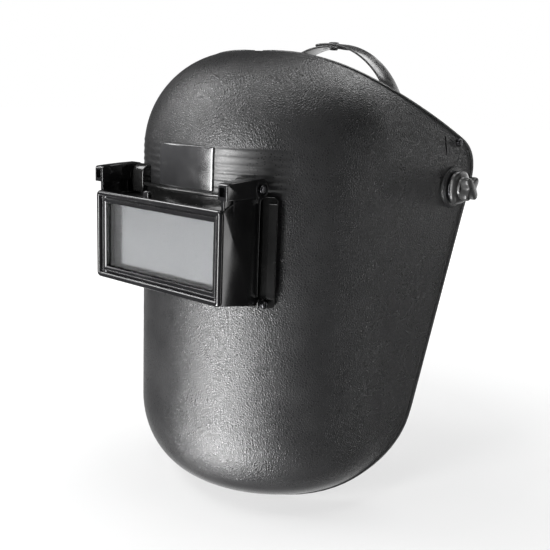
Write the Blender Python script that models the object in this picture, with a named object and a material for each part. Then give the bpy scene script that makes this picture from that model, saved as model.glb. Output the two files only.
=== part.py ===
"""Welding helmet with a flip-up lens holder and an adjustable headgear.

Frame: +Z up, the face looks towards -Y, the wearer's left is +X. The origin is midway between
the two ear pivots, on their axis. All sizes below are in millimetres; MM turns them into metres.
"""

from math import acos, asin, atan2, cos, pi, radians, sin, sqrt, tan

import bmesh
import bpy
from mathutils import Vector

MM = 0.001
GAP = 0.35  # clearance kept between pieces that touch

# ---- driving dimensions: shell ----
WALL = 2.5
FRONT_R = 107.1  # plan radius of the shell's front
FRONT_Y = -63.5  # centre of that arc
FLARE = radians(6.5)  # how far each side opens towards the ears
DOME_Z = 20.0  # the wall is upright below this height
DOME_R = 74.0  # roundover of the crown
CHIN_Z = -176.0  # the wall is upright above this height
CHIN_DROP = 60.0  # height of the chin's roundover
CHIN_TUCK = 48.0  # how far the chin's roundover goes in
CHIN_END = radians(80)
RIM_SLOPE = -1.81  # dy/dz of the rim over the crown
RIM_AT = (24.3, 27.6)  # a (y, z) point on the rim's line
EDGE_SLOPE = 0.311  # dy/dz of the straight rear edge
EDGE_AT = (21.3, 2.6)  # a (y, z) point on that edge's line
EAR_FILLET = 27.0
JAW_FILLET = 100.0

# ---- driving dimensions: window ----
WINDOW_Z = -39.0
BEZEL_W = 123.4
BEZEL_H = 63.0
BEZEL_Y = -197.4
GLASS_W = 108.0
GLASS_H = 51.0
OPEN_W = 106.4
OPEN_H = 48.6
FLIP_Y = -162.0  # axis of the flip-up holder
FLIP_Z = 4.0
SIDE_OUT = 60.5  # outer face of the holder's side walls
SIDE_IN = 58.2
ARM_IN = 56.5
ARM_OUT = 65.0
SADDLE_R = 110.0
SADDLE_HALF = radians(38.5)  # the housing reaches this far round the shell
CLAMP_HALF = radians(41)
SADDLE_LOW = -78.0
SADDLE_HIGH = -1.9
CLAMP_HIGH = -1.0
CLAMP_T = 2.1
CLAMP_GAP = 0.8
TUNNEL_Y = -181.4
TUNNEL_W = 111.0
TUNNEL_H = 56.0
SCREW_R = 1.7
SCREW_ANGLE = radians(36.9)
SCREW_RISE = (27.0, -30.0)  # heights of the housing screws from the window's middle
HINGE_HOLE_R = 2.25
LUG_R = 6.5
LUG_IN = 44.0  # inner end of each hinge lug
PIN_HEAD_R = 2.4  # riveted inner end of each hinge pin
PANEL_LOW = -1.4  # forehead panel
PANEL_HIGH = 28.0
STUD_Y = -156.6  # latch stud
STUD_Z = -74.6
REAR_EDGE_Y = -158.4  # rear edge of the holder's side walls
FLOOR_DROP = 6.0  # how far the holder's floor falls from front to rear

# ---- driving dimensions: ear pivots and headgear ----
BOSS_X = 117.0  # outer face of the shell's ear boss
BOSS_INNER_X = 110.2
BOSS_R = 14.8
KNOB_AXIS_X = 118.0
STOP_PIN_R = 2.0
STOP_PIN_Y = 4.0
STOP_PIN_Z = 33.0
STOP_PIN_X = 102.8  # inner end of the stop pin
STOP_X = 102.2  # inner face of the tilt stop, which is on the inside of the side arm
ARM_X = 105.0  # inner face of the headgear's side arm at the pivot
ARM_T = 2.6
BOLT_R = 3.0
HEAD_A = 79.0  # headband's outer half width
HEAD_B = 98.0  # headband's outer half length
HEAD_Y = 8.0
BAND_T = 1.8
BAND_LOW = 8.0
BAND_HIGH = 33.0
BAND_END = radians(123)
STRAP_T = 1.6
STRAP_GAP = 0.4
STRAP_MID_Y = HEAD_Y + HEAD_B - BAND_T - STRAP_GAP - STRAP_T / 2
ARM_RIVET_Y = (-50.0, 50.0)
RIVET_Z = 20.0
CROWN_Y = -5.0
CROWN_HALF_W = 10.0
CROWN_A = 74.3
CROWN_NARROW = 0.08  # how much the arch draws in above the headband
CROWN_TOP = 104.0
CROWN_LOW = 32.0
CROWN_BASE = 11.0
PINION_Z = 20.5
PINION_R = 6.0
PINION_TEETH = 10
RATCHET_HALF = radians(24)
RATCHET_RISE = 3.0  # how far the ratchet's tray reaches past the straps, up and down
SIDES = ((1, "left"), (-1, "right"))


# ---------------------------------------------------------------- materials and objects


def material(name, colour, roughness, metallic=0.0, alpha=1.0):
    made = bpy.data.materials.new(name)
    made.use_nodes = True
    shader = made.node_tree.nodes["Principled BSDF"]
    shader.inputs["Base Color"].default_value = (*colour, 1.0)
    shader.inputs["Roughness"].default_value = roughness
    shader.inputs["Metallic"].default_value = metallic
    shader.inputs["Alpha"].default_value = alpha
    return made


def clear_scene():
    for old in list(bpy.data.objects):
        bpy.data.objects.remove(old, do_unlink=True)


def axis_empty(name, x, y, z, parent=None):
    """An empty on a joint's axis. Moving pieces are parented to it."""
    empty = bpy.data.objects.new(name, None)
    bpy.context.scene.collection.objects.link(empty)
    place = Vector((x, y, z)) * MM
    empty.location = place
    if parent:
        empty.parent = parent
        empty.location = place - Vector(parent["place"])
    empty["place"] = place
    return empty


def finish_object(obj, parent, look, smooth_angle=35):
    obj.data.materials.clear()
    obj.data.materials.append(look)
    obj.data.shade_smooth()
    obj.data.set_sharp_from_angle(angle=radians(smooth_angle))
    if parent:
        obj.parent = parent
        obj.location = -Vector(parent["place"])
    return obj


def mesh_object(name, verts, faces):
    """A closed mesh from points in millimetres, with its faces turned outwards."""
    mesh = bpy.data.meshes.new(name)
    mesh.from_pydata([Vector(v) * MM for v in verts], [], faces)
    bm = bmesh.new()
    bm.from_mesh(mesh)
    bmesh.ops.recalc_face_normals(bm, faces=bm.faces)
    if bm.calc_volume(signed=True) < 0:
        bmesh.ops.reverse_faces(bm, faces=bm.faces)
    bm.to_mesh(mesh)
    bm.free()
    obj = bpy.data.objects.new(name, mesh)
    bpy.context.scene.collection.objects.link(obj)
    return obj


def combine(base, others, operation):
    """Joins others to base, or cuts them out of it, and removes them."""
    for other in others:
        step = base.modifiers.new(operation.lower(), "BOOLEAN")
        step.operation = operation
        step.solver = "EXACT"
        step.object = other
    bpy.context.view_layer.update()
    evaluated = base.evaluated_get(bpy.context.evaluated_depsgraph_get())
    result = bpy.data.meshes.new_from_object(evaluated)
    base.modifiers.clear()
    base.data = result
    for other in others:
        bpy.data.objects.remove(other, do_unlink=True)
    bm = bmesh.new()
    bm.from_mesh(result)
    bmesh.ops.remove_doubles(bm, verts=bm.verts, dist=0.000001)
    bm.to_mesh(result)
    bm.free()
    return base


def union(base, *others):
    return combine(base, others, "UNION")


def cut(base, *others):
    return combine(base, others, "DIFFERENCE")


# ---------------------------------------------------------------- basic solids


def box(x0, x1, y0, y1, z0, z1, name="box"):
    corners = [(x, y, z) for x in (x0, x1) for y in (y0, y1) for z in (z0, z1)]
    faces = [(0, 1, 3, 2), (4, 6, 7, 5), (0, 4, 5, 1), (2, 3, 7, 6), (0, 2, 6, 4), (1, 5, 7, 3)]
    return mesh_object(name, corners, faces)


def prism(outline, axis, low, high, name="prism", shear=None):
    """Extrudes a closed outline along X, Y or Z. Its two numbers are the other two axes in order."""

    def place(a, b, along):
        point = {"X": (along, a, b), "Y": (a, along, b), "Z": (a, b, along)}[axis]
        return shear(point) if shear else point

    count = len(outline)
    verts = [place(a, b, low) for a, b in outline] + [place(a, b, high) for a, b in outline]
    faces = [tuple(range(count)), tuple(range(2 * count - 1, count - 1, -1))]
    faces += [(i, (i + 1) % count, count + (i + 1) % count, count + i) for i in range(count)]
    return mesh_object(name, verts, faces)


def rounded(width, height, radius, a=0.0, b=0.0, steps=3):
    """A rectangle with round corners, centred on (a, b)."""
    points = []
    for turn, (sa, sb) in enumerate(((1, 1), (-1, 1), (-1, -1), (1, -1))):
        for i in range(steps + 1):
            angle = (turn + i / steps) * pi / 2
            points.append(
                (
                    a + sa * (width / 2 - radius) + radius * cos(angle),
                    b + sb * (height / 2 - radius) + radius * sin(angle),
                )
            )
    return points


def frame(outer, inner, axis, low, high, name="frame"):
    """A ring between two outlines with the same number of points."""
    count = len(outer)

    def place(point, along):
        a, b = point
        return {"X": (along, a, b), "Y": (a, along, b), "Z": (a, b, along)}[axis]

    verts = [place(p, at) for at in (low, high) for p in outer]
    verts += [place(p, at) for at in (low, high) for p in inner]
    faces = []
    for i in range(count):
        j = (i + 1) % count
        faces.append((i, j, count + j, count + i))
        faces.append((2 * count + i, 3 * count + i, 3 * count + j, 2 * count + j))
        faces.append((i, 2 * count + i, 2 * count + j, j))
        faces.append((count + i, count + j, 3 * count + j, 3 * count + i))
    return mesh_object(name, verts, faces)


def turned(profile, origin, direction, count=24, name="turned"):
    """Turns a closed profile of (distance along, radius) points about an axis."""
    z_axis = Vector(direction).normalized()
    turn = z_axis.to_track_quat("Z", "Y").to_matrix()
    verts, faces, rings = [], [], []
    for along, radius in profile:
        if radius < 1e-6:
            rings.append([len(verts)])
            verts.append(Vector(origin) + turn @ Vector((0, 0, along)))
            continue
        rings.append(list(range(len(verts), len(verts) + count)))
        for i in range(count):
            angle = 2 * pi * i / count
            verts.append(Vector(origin) + turn @ Vector((radius * cos(angle), radius * sin(angle), along)))
    closed = profile[0][1] > 1e-6
    pairs = list(zip(rings, rings[1:] + ([rings[0]] if closed else [])))
    for one, two in pairs:
        for i in range(count):
            j = (i + 1) % count
            if len(one) == 1 and len(two) == 1:
                break
            if len(one) == 1:
                faces.append((one[0], two[i], two[j]))
            elif len(two) == 1:
                faces.append((one[i], two[0], one[j]))
            else:
                faces.append((one[i], two[i], two[j], one[j]))
    return mesh_object(name, verts, faces)


def rod(x0, x1, radius, origin=(0, 0, 0), direction=(1, 0, 0), count=16, name="rod"):
    return turned([(x0, 0), (x0, radius), (x1, radius), (x1, 0)], origin, direction, count, name)


def ring(x0, x1, inner, outer, origin=(0, 0, 0), direction=(1, 0, 0), count=20, name="ring"):
    return turned([(x0, inner), (x0, outer), (x1, outer), (x1, inner)], origin, direction, count, name)


def sheet(outer, inner, name="sheet"):
    """A closed sheet from two grids of points with the same rows and columns."""
    rows, columns = len(outer), len(outer[0])
    verts = [p for row in outer for p in row] + [p for row in inner for p in row]
    offset = rows * columns
    faces = []
    for i in range(rows - 1):
        for j in range(columns - 1):
            a = i * columns + j
            faces.append((a, a + 1, a + columns + 1, a + columns))
            faces.append((offset + a, offset + a + columns, offset + a + columns + 1, offset + a + 1))
    rim = [j for j in range(columns)]
    rim += [i * columns + columns - 1 for i in range(1, rows)]
    rim += [(rows - 1) * columns + j for j in range(columns - 2, -1, -1)]
    rim += [i * columns for i in range(rows - 2, 0, -1)]
    for a, b in zip(rim, rim[1:] + rim[:1]):
        faces.append((a, offset + a, offset + b, b))
    return mesh_object(name, verts, faces)


def lerp(a, b, t):
    return a + (b - a) * t


# ---------------------------------------------------------------- shell surface


def ear_centre():
    """Centre and upper limit of the arc that joins the rim to the rear edge, as (y, z, z of its top)."""
    rim_start = RIM_AT[0] - RIM_SLOPE * RIM_AT[1]
    edge_start = EDGE_AT[0] - EDGE_SLOPE * EDGE_AT[1]
    corner_z = (rim_start - edge_start) / (EDGE_SLOPE - RIM_SLOPE)
    corner_y = EDGE_AT[0] + EDGE_SLOPE * (corner_z - EDGE_AT[1])
    rim = Vector((RIM_SLOPE, 1)).normalized()
    edge = Vector((-EDGE_SLOPE, -1)).normalized()
    half = rim.angle(edge) / 2
    reach = EAR_FILLET / tan(half)
    middle = (rim + edge).normalized() * EAR_FILLET / sin(half)
    return corner_y + middle.x, corner_z + middle.y, corner_z + rim.y * reach, corner_z + edge.y * reach


EAR_Y, EAR_Z, EAR_TOP, EAR_BOTTOM = ear_centre()
CHIN_LOW = CHIN_Z - CHIN_DROP
JAW_Z = CHIN_LOW + JAW_FILLET
EDGE_LEAN = atan2(EDGE_SLOPE, 1)
JAW_Y = EDGE_AT[0] + EDGE_SLOPE * (JAW_Z - EDGE_AT[1]) - JAW_FILLET / cos(EDGE_LEAN)
JAW_TOP = JAW_Z - JAW_FILLET * sin(EDGE_LEAN)


def rear_y(z):
    """How far back the shell reaches at height z, along its side outline."""
    if z >= EAR_TOP:
        return RIM_AT[0] + RIM_SLOPE * (z - RIM_AT[1])
    if z >= EAR_BOTTOM:
        return EAR_Y + sqrt(EAR_FILLET**2 - (z - EAR_Z) ** 2)
    if z >= JAW_TOP:
        return EDGE_AT[0] + EDGE_SLOPE * (z - EDGE_AT[1])
    return JAW_Y + sqrt(max(0.0, JAW_FILLET**2 - (z - JAW_Z) ** 2))


def plan_point(radius, along):
    """A point of the U-shaped plan at arc length along, for a front arc of this radius."""
    straight = pi / 2 - FLARE
    side = -1 if along < 0 else 1
    along = abs(along)
    if along <= radius * straight:
        angle = along / radius
        return side * radius * sin(angle), FRONT_Y - radius * cos(angle)
    extra = along - radius * straight
    x = radius * sin(straight) + extra * sin(FLARE)
    y = FRONT_Y - radius * cos(straight) + extra * cos(FLARE)
    return side * x, y


def plan_length(radius, y):
    """The arc length from the front to where the plan crosses y."""
    straight = pi / 2 - FLARE
    end_y = FRONT_Y - radius * cos(straight)
    if y <= end_y:
        return radius * acos(max(-1.0, min(1.0, (FRONT_Y - y) / radius)))
    return radius * straight + (y - end_y) / cos(FLARE)


def shell_rows():
    """Each row's height, plan radius, inner height and inner plan radius."""
    rows = []
    for i in range(6):
        angle = CHIN_END * (1 - i / 6)
        rows.append(
            (
                CHIN_Z - CHIN_DROP * sin(angle),
                FRONT_R - CHIN_TUCK * (1 - cos(angle)),
                CHIN_Z - (CHIN_DROP - WALL) * sin(angle),
                FRONT_R - CHIN_TUCK + (CHIN_TUCK - WALL) * cos(angle),
            )
        )
    for z in (CHIN_Z, -140, -100, -55, -20, -2, 6, 13):
        rows.append((z, FRONT_R, z, FRONT_R - WALL))
    for i in range(10):
        angle = pi / 2 * i / 9
        rows.append(
            (
                DOME_Z + DOME_R * sin(angle),
                FRONT_R - DOME_R * (1 - cos(angle)),
                DOME_Z + (DOME_R - WALL) * sin(angle),
                FRONT_R - DOME_R + (DOME_R - WALL) * cos(angle),
            )
        )
    return rows


def side_x(y, radius=FRONT_R):
    """Half width of the upright wall at y."""
    straight = pi / 2 - FLARE
    return radius * sin(straight) + (y - FRONT_Y + radius * cos(straight)) * tan(FLARE)


def shell():
    columns = 26
    outer, inner = [], []
    for z, radius, inner_z, inner_radius in shell_rows():
        back = rear_y(z)
        reach = plan_length(radius, back)
        inner_reach = plan_length(inner_radius, back)
        steps = [2 * j / columns - 1 for j in range(columns + 1)]
        outer.append([(*plan_point(radius, reach * s), z) for s in steps])
        inner.append([(*plan_point(inner_radius, inner_reach * s), inner_z) for s in steps])
    body = sheet(outer, inner, "shell")
    for side in (-1, 1):
        mouth = (side, 0, 0)
        wall = side_x(0)
        union(body, rod(BOSS_INNER_X, BOSS_X, BOSS_R, direction=mouth, count=24))
        hole = rod(BOSS_INNER_X - 5, BOSS_X + 5, BOLT_R + 1.2, direction=mouth)
        pin_hole = rod(wall - 15, wall + 15, STOP_PIN_R + GAP, (0, STOP_PIN_Y, STOP_PIN_Z), mouth, 16)
        slot = box(*sorted((side * (wall - 12), side * (wall + 12))), -12.8, -11.2, 24, 38)
        cut(body, hole, pin_hole, slot)
    half_w, half_h = 52.0, 24.0
    window = prism(rounded(2 * half_w, 2 * half_h, 3, 0, WINDOW_Z), "Y", -190, -130)
    holes = [rod(95, 125, SCREW_R + 0.4, (0, FRONT_Y, z), direction, 12) for z, direction in screw_places()]
    return cut(body, window, *holes)


def screw_places():
    """Height and outward direction of each housing screw."""
    return [
        (z, (side * sin(SCREW_ANGLE), -cos(SCREW_ANGLE), 0))
        for z in (WINDOW_Z + rise for rise in SCREW_RISE)
        for side in (-1, 1)
    ]


def curved_plate(inner_r, outer_r, angle_0, angle_1, z0, z1, columns, name):
    """A plate that follows the shell's front arc, between two angles from straight ahead."""
    grids = []
    for radius in (outer_r, inner_r):
        grid = []
        for z in (z0, z1):
            row = []
            for j in range(columns + 1):
                angle = lerp(angle_0, angle_1, j / columns)
                row.append((radius * sin(angle), FRONT_Y - radius * cos(angle), z))
            grid.append(row)
        grids.append(grid)
    return sheet(grids[0], grids[1], name)


def forehead_panel():
    half = asin(25.6 / FRONT_R)
    inner, outer = FRONT_R + 0.35, FRONT_R + 1.15
    return curved_plate(inner, outer, -half, half, PANEL_LOW, PANEL_HIGH, 6, "forehead_panel")


# ---------------------------------------------------------------- window housing


def window_housing():
    limit = SADDLE_HALF
    lip_end = radians(29.8)
    root = FRONT_R + 1.4  # where the added shapes start, inside the saddle's thickness
    front = prism(rounded(TUNNEL_W, TUNNEL_H, 2, 0, WINDOW_Z), "Y", TUNNEL_Y, -140)
    mounts = []
    for side in (-1, 1):
        mounts.append(rod(LUG_IN, 56, LUG_R, (0, FLIP_Y, FLIP_Z), (side, 0, 0), 22))
        near, far = sorted((side * (LUG_IN + 0.2), side * 55.8))
        mounts.append(box(near, far, FLIP_Y - 5, FLIP_Y + 12, -9.2, FLIP_Z + 0.3))
        mounts.append(box(*sorted((side * 57, side * 62)), -159.2, -145, -77.4, -71.6))
    union(front, *mounts)
    cut(front, rod(-95, 35, root, (0, FRONT_Y, 0), (0, 0, 1), 64))
    body = curved_plate(FRONT_R + 0.4, SADDLE_R, -limit, limit, SADDLE_LOW, SADDLE_HIGH, 18, "window_housing")
    lip_low, lip_high = SADDLE_HIGH - 2.5, SADDLE_HIGH - 0.1
    lip = curved_plate(root + 0.3, SADDLE_R + 3.2, -lip_end, lip_end, lip_low, lip_high, 14, "lip")
    strips = []
    for side in (-1, 1):
        start, end = side * radians(35.6), side * radians(38.2)
        strips.append(curved_plate(root + 0.15, SADDLE_R + 2.8, start, end, -71.2, -6, 3, "strip"))
    union(body, lip, front, *strips)
    opening = prism(rounded(102, 47, 2, 0, WINDOW_Z), "Y", -200, -120)
    rebate = prism(rounded(GLASS_W + 0.8, GLASS_H + 0.8, 2, 0, WINDOW_Z), "Y", -200, -175.7)
    cutters = [opening, rebate]
    for side in (-1, 1):
        cutters.append(rod(40, 70, HINGE_HOLE_R, (0, FLIP_Y, FLIP_Z), (side, 0, 0), 16))
        cutters.append(rod(LUG_IN - 1, 50.5, PIN_HEAD_R + 0.4, (0, FLIP_Y, FLIP_Z), (side, 0, 0), 16))
        cutters.append(rod(56.2, 72, 7.5, (0, FLIP_Y, FLIP_Z), (side, 0, 0), 20))
        cutters.append(rod(58.5, 70, 1.55, (0, STUD_Y, STUD_Z), (side, 0, 0), 12))
    for z, direction in screw_places():
        cutters.append(rod(95, FRONT_R + 4.2, SCREW_R + 0.35, (0, FRONT_Y, z), direction, 12))
    return cut(body, *cutters)


def inner_clamp_frame():
    outer_r = FRONT_R - WALL - CLAMP_GAP
    heights = (SADDLE_LOW, CLAMP_HIGH)
    inner_r = outer_r - CLAMP_T
    body = curved_plate(inner_r, outer_r, -CLAMP_HALF, CLAMP_HALF, *heights, 16, "inner_clamp_frame")
    window = prism(rounded(106, 50, 3, 0, WINDOW_Z), "Y", -190, -130)
    holes = [rod(90, 125, SCREW_R + 0.4, (0, FRONT_Y, z), d, 12) for z, d in screw_places()]
    return cut(body, window, *holes)


def housing_screw(index):
    """A pan-head screw that goes outwards from inside the shell."""
    z, direction = screw_places()[index]
    seat = FRONT_R - WALL - CLAMP_GAP - CLAMP_T - 0.5
    profile = [(seat - 1.8, 0), (seat - 1.8, 2.2), (seat - 0.9, 3.2), (seat, 3.4), (seat, SCREW_R)]
    profile += [(FRONT_R + 3.6, SCREW_R), (FRONT_R + 3.9, 0)]
    return turned(profile, (0, FRONT_Y, z), direction, 10, f"housing_screw_{index + 1}")


def plate(name, y0, y1):
    return prism(rounded(GLASS_W, GLASS_H, 1.5, 0, WINDOW_Z), "Y", y0, y1, name)


def lens_frame(name, width, height, y0, y1):
    outer = rounded(GLASS_W, GLASS_H, 1.5, 0, WINDOW_Z)
    inner = rounded(width, height, 1.5, 0, WINDOW_Z)
    return frame(outer, inner, "Y", y0, y1, name)


# ---------------------------------------------------------------- flip-up holder


def arm_outline():
    """Side outline of a holder arm as (y, z) points: low at the front end, round at the hinge."""
    radius = 7.0
    points = [(-195.2, -1.4), (-195.2, 8.4), (-194.0, 9.4), (-180, 10.2), (-170, 10.9)]
    for i in range(9):
        angle = radians(100 - 200 * i / 8)
        points.append((FLIP_Y + radius * cos(angle), FLIP_Z + radius * sin(angle)))
    points += [(-166, -1.4)]
    return points


def flip_holder():
    z_low = WINDOW_Z - BEZEL_H / 2
    outer = rounded(BEZEL_W, BEZEL_H, 3.5, 0, WINDOW_Z)
    inner = rounded(BEZEL_W - 7, BEZEL_H - 7, 2.5, 0, WINDOW_Z)
    body = frame(outer, inner, "Y", BEZEL_Y, -193.7, "flip_holder")
    lip_outer = rounded(BEZEL_W - 3, BEZEL_H - 3, 2.5, 0, WINDOW_Z)
    lip = frame(lip_outer, rounded(OPEN_W, OPEN_H, 2, 0, WINDOW_Z), "Y", BEZEL_Y + 1.2, -193.9)
    pocket_outer = rounded(GLASS_W + 5, GLASS_H + 5, 2, 0, WINDOW_Z)
    pocket = frame(pocket_outer, rounded(GLASS_W + 0.9, GLASS_H + 0.9, 1.5, 0, WINDOW_Z), "Y", -194.5, -182.8)
    parts = [lip, pocket]
    rear_low = z_low - FLOOR_DROP
    for side in (-1, 1):
        span = sorted((side * SIDE_IN, side * SIDE_OUT))
        wall = [(-194.6, z_low + 0.6), (REAR_EDGE_Y, rear_low), (REAR_EDGE_Y, FLIP_Z), (-193.4, FLIP_Z - 3)]
        parts.append(prism(wall, "X", *span))
        parts.append(prism(arm_outline(), "X", *sorted((side * ARM_IN, side * ARM_OUT))))
        parts.append(box(*sorted((side * 52.5, side * 55.5)), -183.0, -182.0, WINDOW_Z - 6, WINDOW_Z + 6))
        near, far = sorted((side * 55, side * (SIDE_IN + 1)))
        parts.append(box(near, far, -194.2, -188, WINDOW_Z - 26, WINDOW_Z + 26))
    rear = [(x, FRONT_Y - sqrt((SADDLE_R + 1.4) ** 2 - x * x)) for x in range(60, -61, -12)]
    floor = [(-60, -194.4), (60, -194.4)] + rear
    slope = -FLOOR_DROP / (REAR_EDGE_Y + 194.6)

    def lean(point):
        x, y, z = point
        return x, y, z + slope * (y + 194.6)

    parts.append(prism(floor, "Z", z_low + 0.2, z_low + 2.2, shear=lean))
    union(body, *parts)
    cutters = []
    for side in (-1, 1):
        cutters.append(rod(40, 80, HINGE_HOLE_R, (0, FLIP_Y, FLIP_Z), (side, 0, 0), 16))
        pocket_x = sorted((side * (ARM_IN + 1.6), side * (ARM_OUT - 1.6)))
        cutters.append(box(*pocket_x, -200, -191.5, 0.6, 7.6))
        cutters.append(box(*sorted((side * 59.4, side * 61)), -192.2, -184, -7.2, -1.9))
        notch = [(-159.6, -71.2), (-150, -71.2), (-150, -80), (-161.5, -80), (-161.5, -75.0)]
        cutters.append(prism(notch, "X", *sorted((side * 50, side * 70))))
    return cut(body, *cutters)


def hinge_pin(side):
    """A headed pin through the arm and the lug, with a riveted inner end."""
    origin = (0, FLIP_Y, FLIP_Z)
    profile = [(48.2, 0), (48.2, 1.9), (48.7, PIN_HEAD_R), (50.1, PIN_HEAD_R)]
    profile += [(50.1, 1.95), (ARM_OUT + 0.35, 1.95)]
    profile += [(ARM_OUT + 0.35, 3.4), (ARM_OUT + 1.0, 3.2), (ARM_OUT + 1.6, 2.2), (ARM_OUT + 1.7, 0)]
    return turned(profile, origin, (side, 0, 0), 16)


def latch_stud(side):
    """The stud at the housing's lower corner that the holder's notch snaps over."""
    profile = [(58.8, 0), (58.8, 1.2), (62.4, 1.2), (62.4, 2.6)]
    profile += [(66.2, 2.6), (66.6, 2.2), (66.6, 1.3), (65.6, 1.1)]
    profile += [(65.6, 0)]
    return turned(profile, (0, STUD_Y, STUD_Z), (side, 0, 0), 14)


# ---------------------------------------------------------------- ear pivots


def tension_knob(side):
    """A round flange with four lobes, bored for its insert."""
    body = turned(
        [(118.7, 0), (118.7, 13.4), (120.6, 13.4), (121.6, 12.4), (121.6, 8.4), (124, 8.4), (124, 0)],
        (0, 0, 0),
        (side, 0, 0),
        24,
    )
    lobes = []
    for i in range(32):
        angle = 2 * pi * i / 32
        radius = 8.4 + 2.4 * cos(4 * (angle - pi / 4))
        lobes.append((radius * cos(angle), radius * sin(angle)))
    union(body, prism(lobes, "X", *sorted((side * 123.5, side * 131.5))))
    return cut(body, rod(110, 127.6, 5.4, direction=(side, 0, 0)))


def ear_bolt(side):
    profile = [(101.2, 0), (101.2, 5.5), (102.4, 7.4), (104.6, 7.4)]
    profile += [(104.6, BOLT_R), (126.6, BOLT_R), (127.2, 2.4)]
    profile += [(127.2, 0)]
    return turned(profile, (0, 0, 0), (side, 0, 0), 16)


def stop_pin(side):
    """A headed pin through the shell, near its ear corner."""
    profile = [(STOP_PIN_X, 0), (STOP_PIN_X, STOP_PIN_R), (115.2, STOP_PIN_R), (115.2, 3.2), (116.0, 3.2)]
    profile += [(116.5, 2.4)]
    profile += [(116.5, 0)]
    return turned(profile, (0, STOP_PIN_Y, STOP_PIN_Z), (side, 0, 0), 12)


def tilt_stop(side):
    """A plate inside the side arm whose edge the stop pin rests against."""
    edge = STOP_PIN_Y - STOP_PIN_R - 0.4
    outline = [(-6, 11.6), (5, 11.6), (5, 20), (edge, 27), (edge, 36), (-4, 36), (-8, 30), (-8, 20)]
    return prism(outline, "X", *sorted((side * STOP_X, side * (ARM_X - 0.4))))


# ---------------------------------------------------------------- headgear


def band_x(y, offset=0.0):
    """Half width of the headband's outer face at y, moved outwards by offset."""
    return (HEAD_A + offset) * sqrt(max(0.0, 1 - ((y - HEAD_Y) / (HEAD_B + offset)) ** 2))


def band_point(angle, offset):
    """A point of the head's outline, by angle from straight ahead."""
    return (HEAD_A + offset) * sin(angle), HEAD_Y - (HEAD_B + offset) * cos(angle)


def band(name, angle_0, angle_1, outer, inner, heights, columns):
    """A curved strip round the head. heights(t) gives its low and high edges at the fraction t."""
    grids = []
    for offset in (outer, inner):
        rows = [[], []]
        for j in range(columns + 1):
            t = j / columns
            x, y = band_point(lerp(angle_0, angle_1, t), offset)
            for row, z in zip(rows, heights(t)):
                row.append((x, y, z))
        grids.append(rows)
    return sheet(grids[0], grids[1], name)


def band_normal(y, side):
    """Outward direction of the headband's face at y."""
    x = band_x(y)
    return Vector((side * x / HEAD_A**2, (y - HEAD_Y) / HEAD_B**2, 0)).normalized()


def rivet_hole(y, side):
    return rod(-12, 12, 1.95, (side * band_x(y), y, RIVET_Z), band_normal(y, side), 12)


def rivet(name, y, side, inner, outer):
    """A set rivet across the headband, with its heads at these distances from the band's outer face."""
    profile = [(inner - 1.1, 0), (inner - 1.1, 2.2), (inner, 3.5), (inner, 1.6)]
    profile += [(outer, 1.6), (outer, 3.5), (outer + 1.1, 2.2), (outer + 1.1, 0)]
    return turned(profile, (side * band_x(y), y, RIVET_Z), band_normal(y, side), 10, name)


def headband():
    body = band("headband", -BAND_END, BAND_END, 0, -BAND_T, lambda t: (BAND_LOW, BAND_HIGH), 40)
    holes = [rivet_hole(y, side) for side in (-1, 1) for y in (*ARM_RIVET_Y, CROWN_Y)]
    return cut(body, *holes)


def sweatband():
    reach = radians(46)
    return band("sweatband", -reach, reach, -BAND_T - STRAP_GAP, -BAND_T - 6.4, lambda t: (6.5, 34.5), 24)


def smooth(value):
    value = max(0.0, min(1.0, value))
    return value * value * (3 - 2 * value)


def side_arm(side):
    """A strip that leaves the headband, bows out to the ear pivot and comes back."""
    outer, inner = [[], []], [[], []]
    count = 20
    for j in range(count + 1):
        y = lerp(-58, 59, j / count)
        bow = 1 - smooth((abs(y) - 15) / 27)
        x = lerp(band_x(y, 0.5), ARM_X, bow)
        low = lerp(11, -12, bow)
        high = lerp(30, 18, bow)
        for row, z in zip(outer, (low, high)):
            row.append((side * (x + ARM_T), y, z))
        for row, z in zip(inner, (low, high)):
            row.append((side * x, y, z))
    body = sheet(outer, inner)
    cutters = [rod(90, 120, BOLT_R + 0.35, direction=(side, 0, 0))]
    cutters += [rivet_hole(y, side) for y in ARM_RIVET_Y]
    return cut(body, *cutters)


def crown_x(angle, offset):
    """Half width of the crown strap's arch, at this angle from the top."""
    return (CROWN_A + offset) * sin(angle) * (1 - CROWN_NARROW * smooth(cos(angle) / 0.45))


def crown_strap(side, lift, name):
    """Half of the strap over the head. It rises inside the headband and ends past the middle."""
    grids = []
    count = 22
    overlap = -16.0
    for depth in (0, -STRAP_T):
        rows = [[], []]
        for y, row in zip((CROWN_Y - CROWN_HALF_W, CROWN_Y + CROWN_HALF_W), rows):
            row.append((side * (CROWN_A + depth), y, CROWN_BASE))
            for j in range(count + 1):
                offset = depth + lift * smooth(j / 10)
                angle = lerp(pi / 2, overlap / CROWN_A, j / count)
                x = crown_x(angle, offset)
                z = CROWN_LOW + (CROWN_TOP - CROWN_LOW + offset) * cos(angle)
                row.append((side * x, y, z))
        grids.append(rows)
    body = sheet(grids[0], grids[1], name)
    holes = [rod(90, 110, 2.3, (x, CROWN_Y, 0), (0, 0, 1), 12) for x in (-8, 0, 8)]
    return cut(body, rivet_hole(CROWN_Y, side), *holes)


def crown_stud():
    top = CROWN_TOP
    profile = [(top - 5.4, 0), (top - 5.4, 2.6), (top - 4.5, 3.6), (top - 3.9, 3.6), (top - 3.9, 1.95)]
    profile += [(top + 0.35, 1.95), (top + 0.35, 4.2), (top + 0.8, 4.0), (top + 1.1, 2.8), (top + 1.1, 0)]
    return turned(profile, (0, CROWN_Y, 0), (0, 0, 1), 16, "crown_stud")


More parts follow.
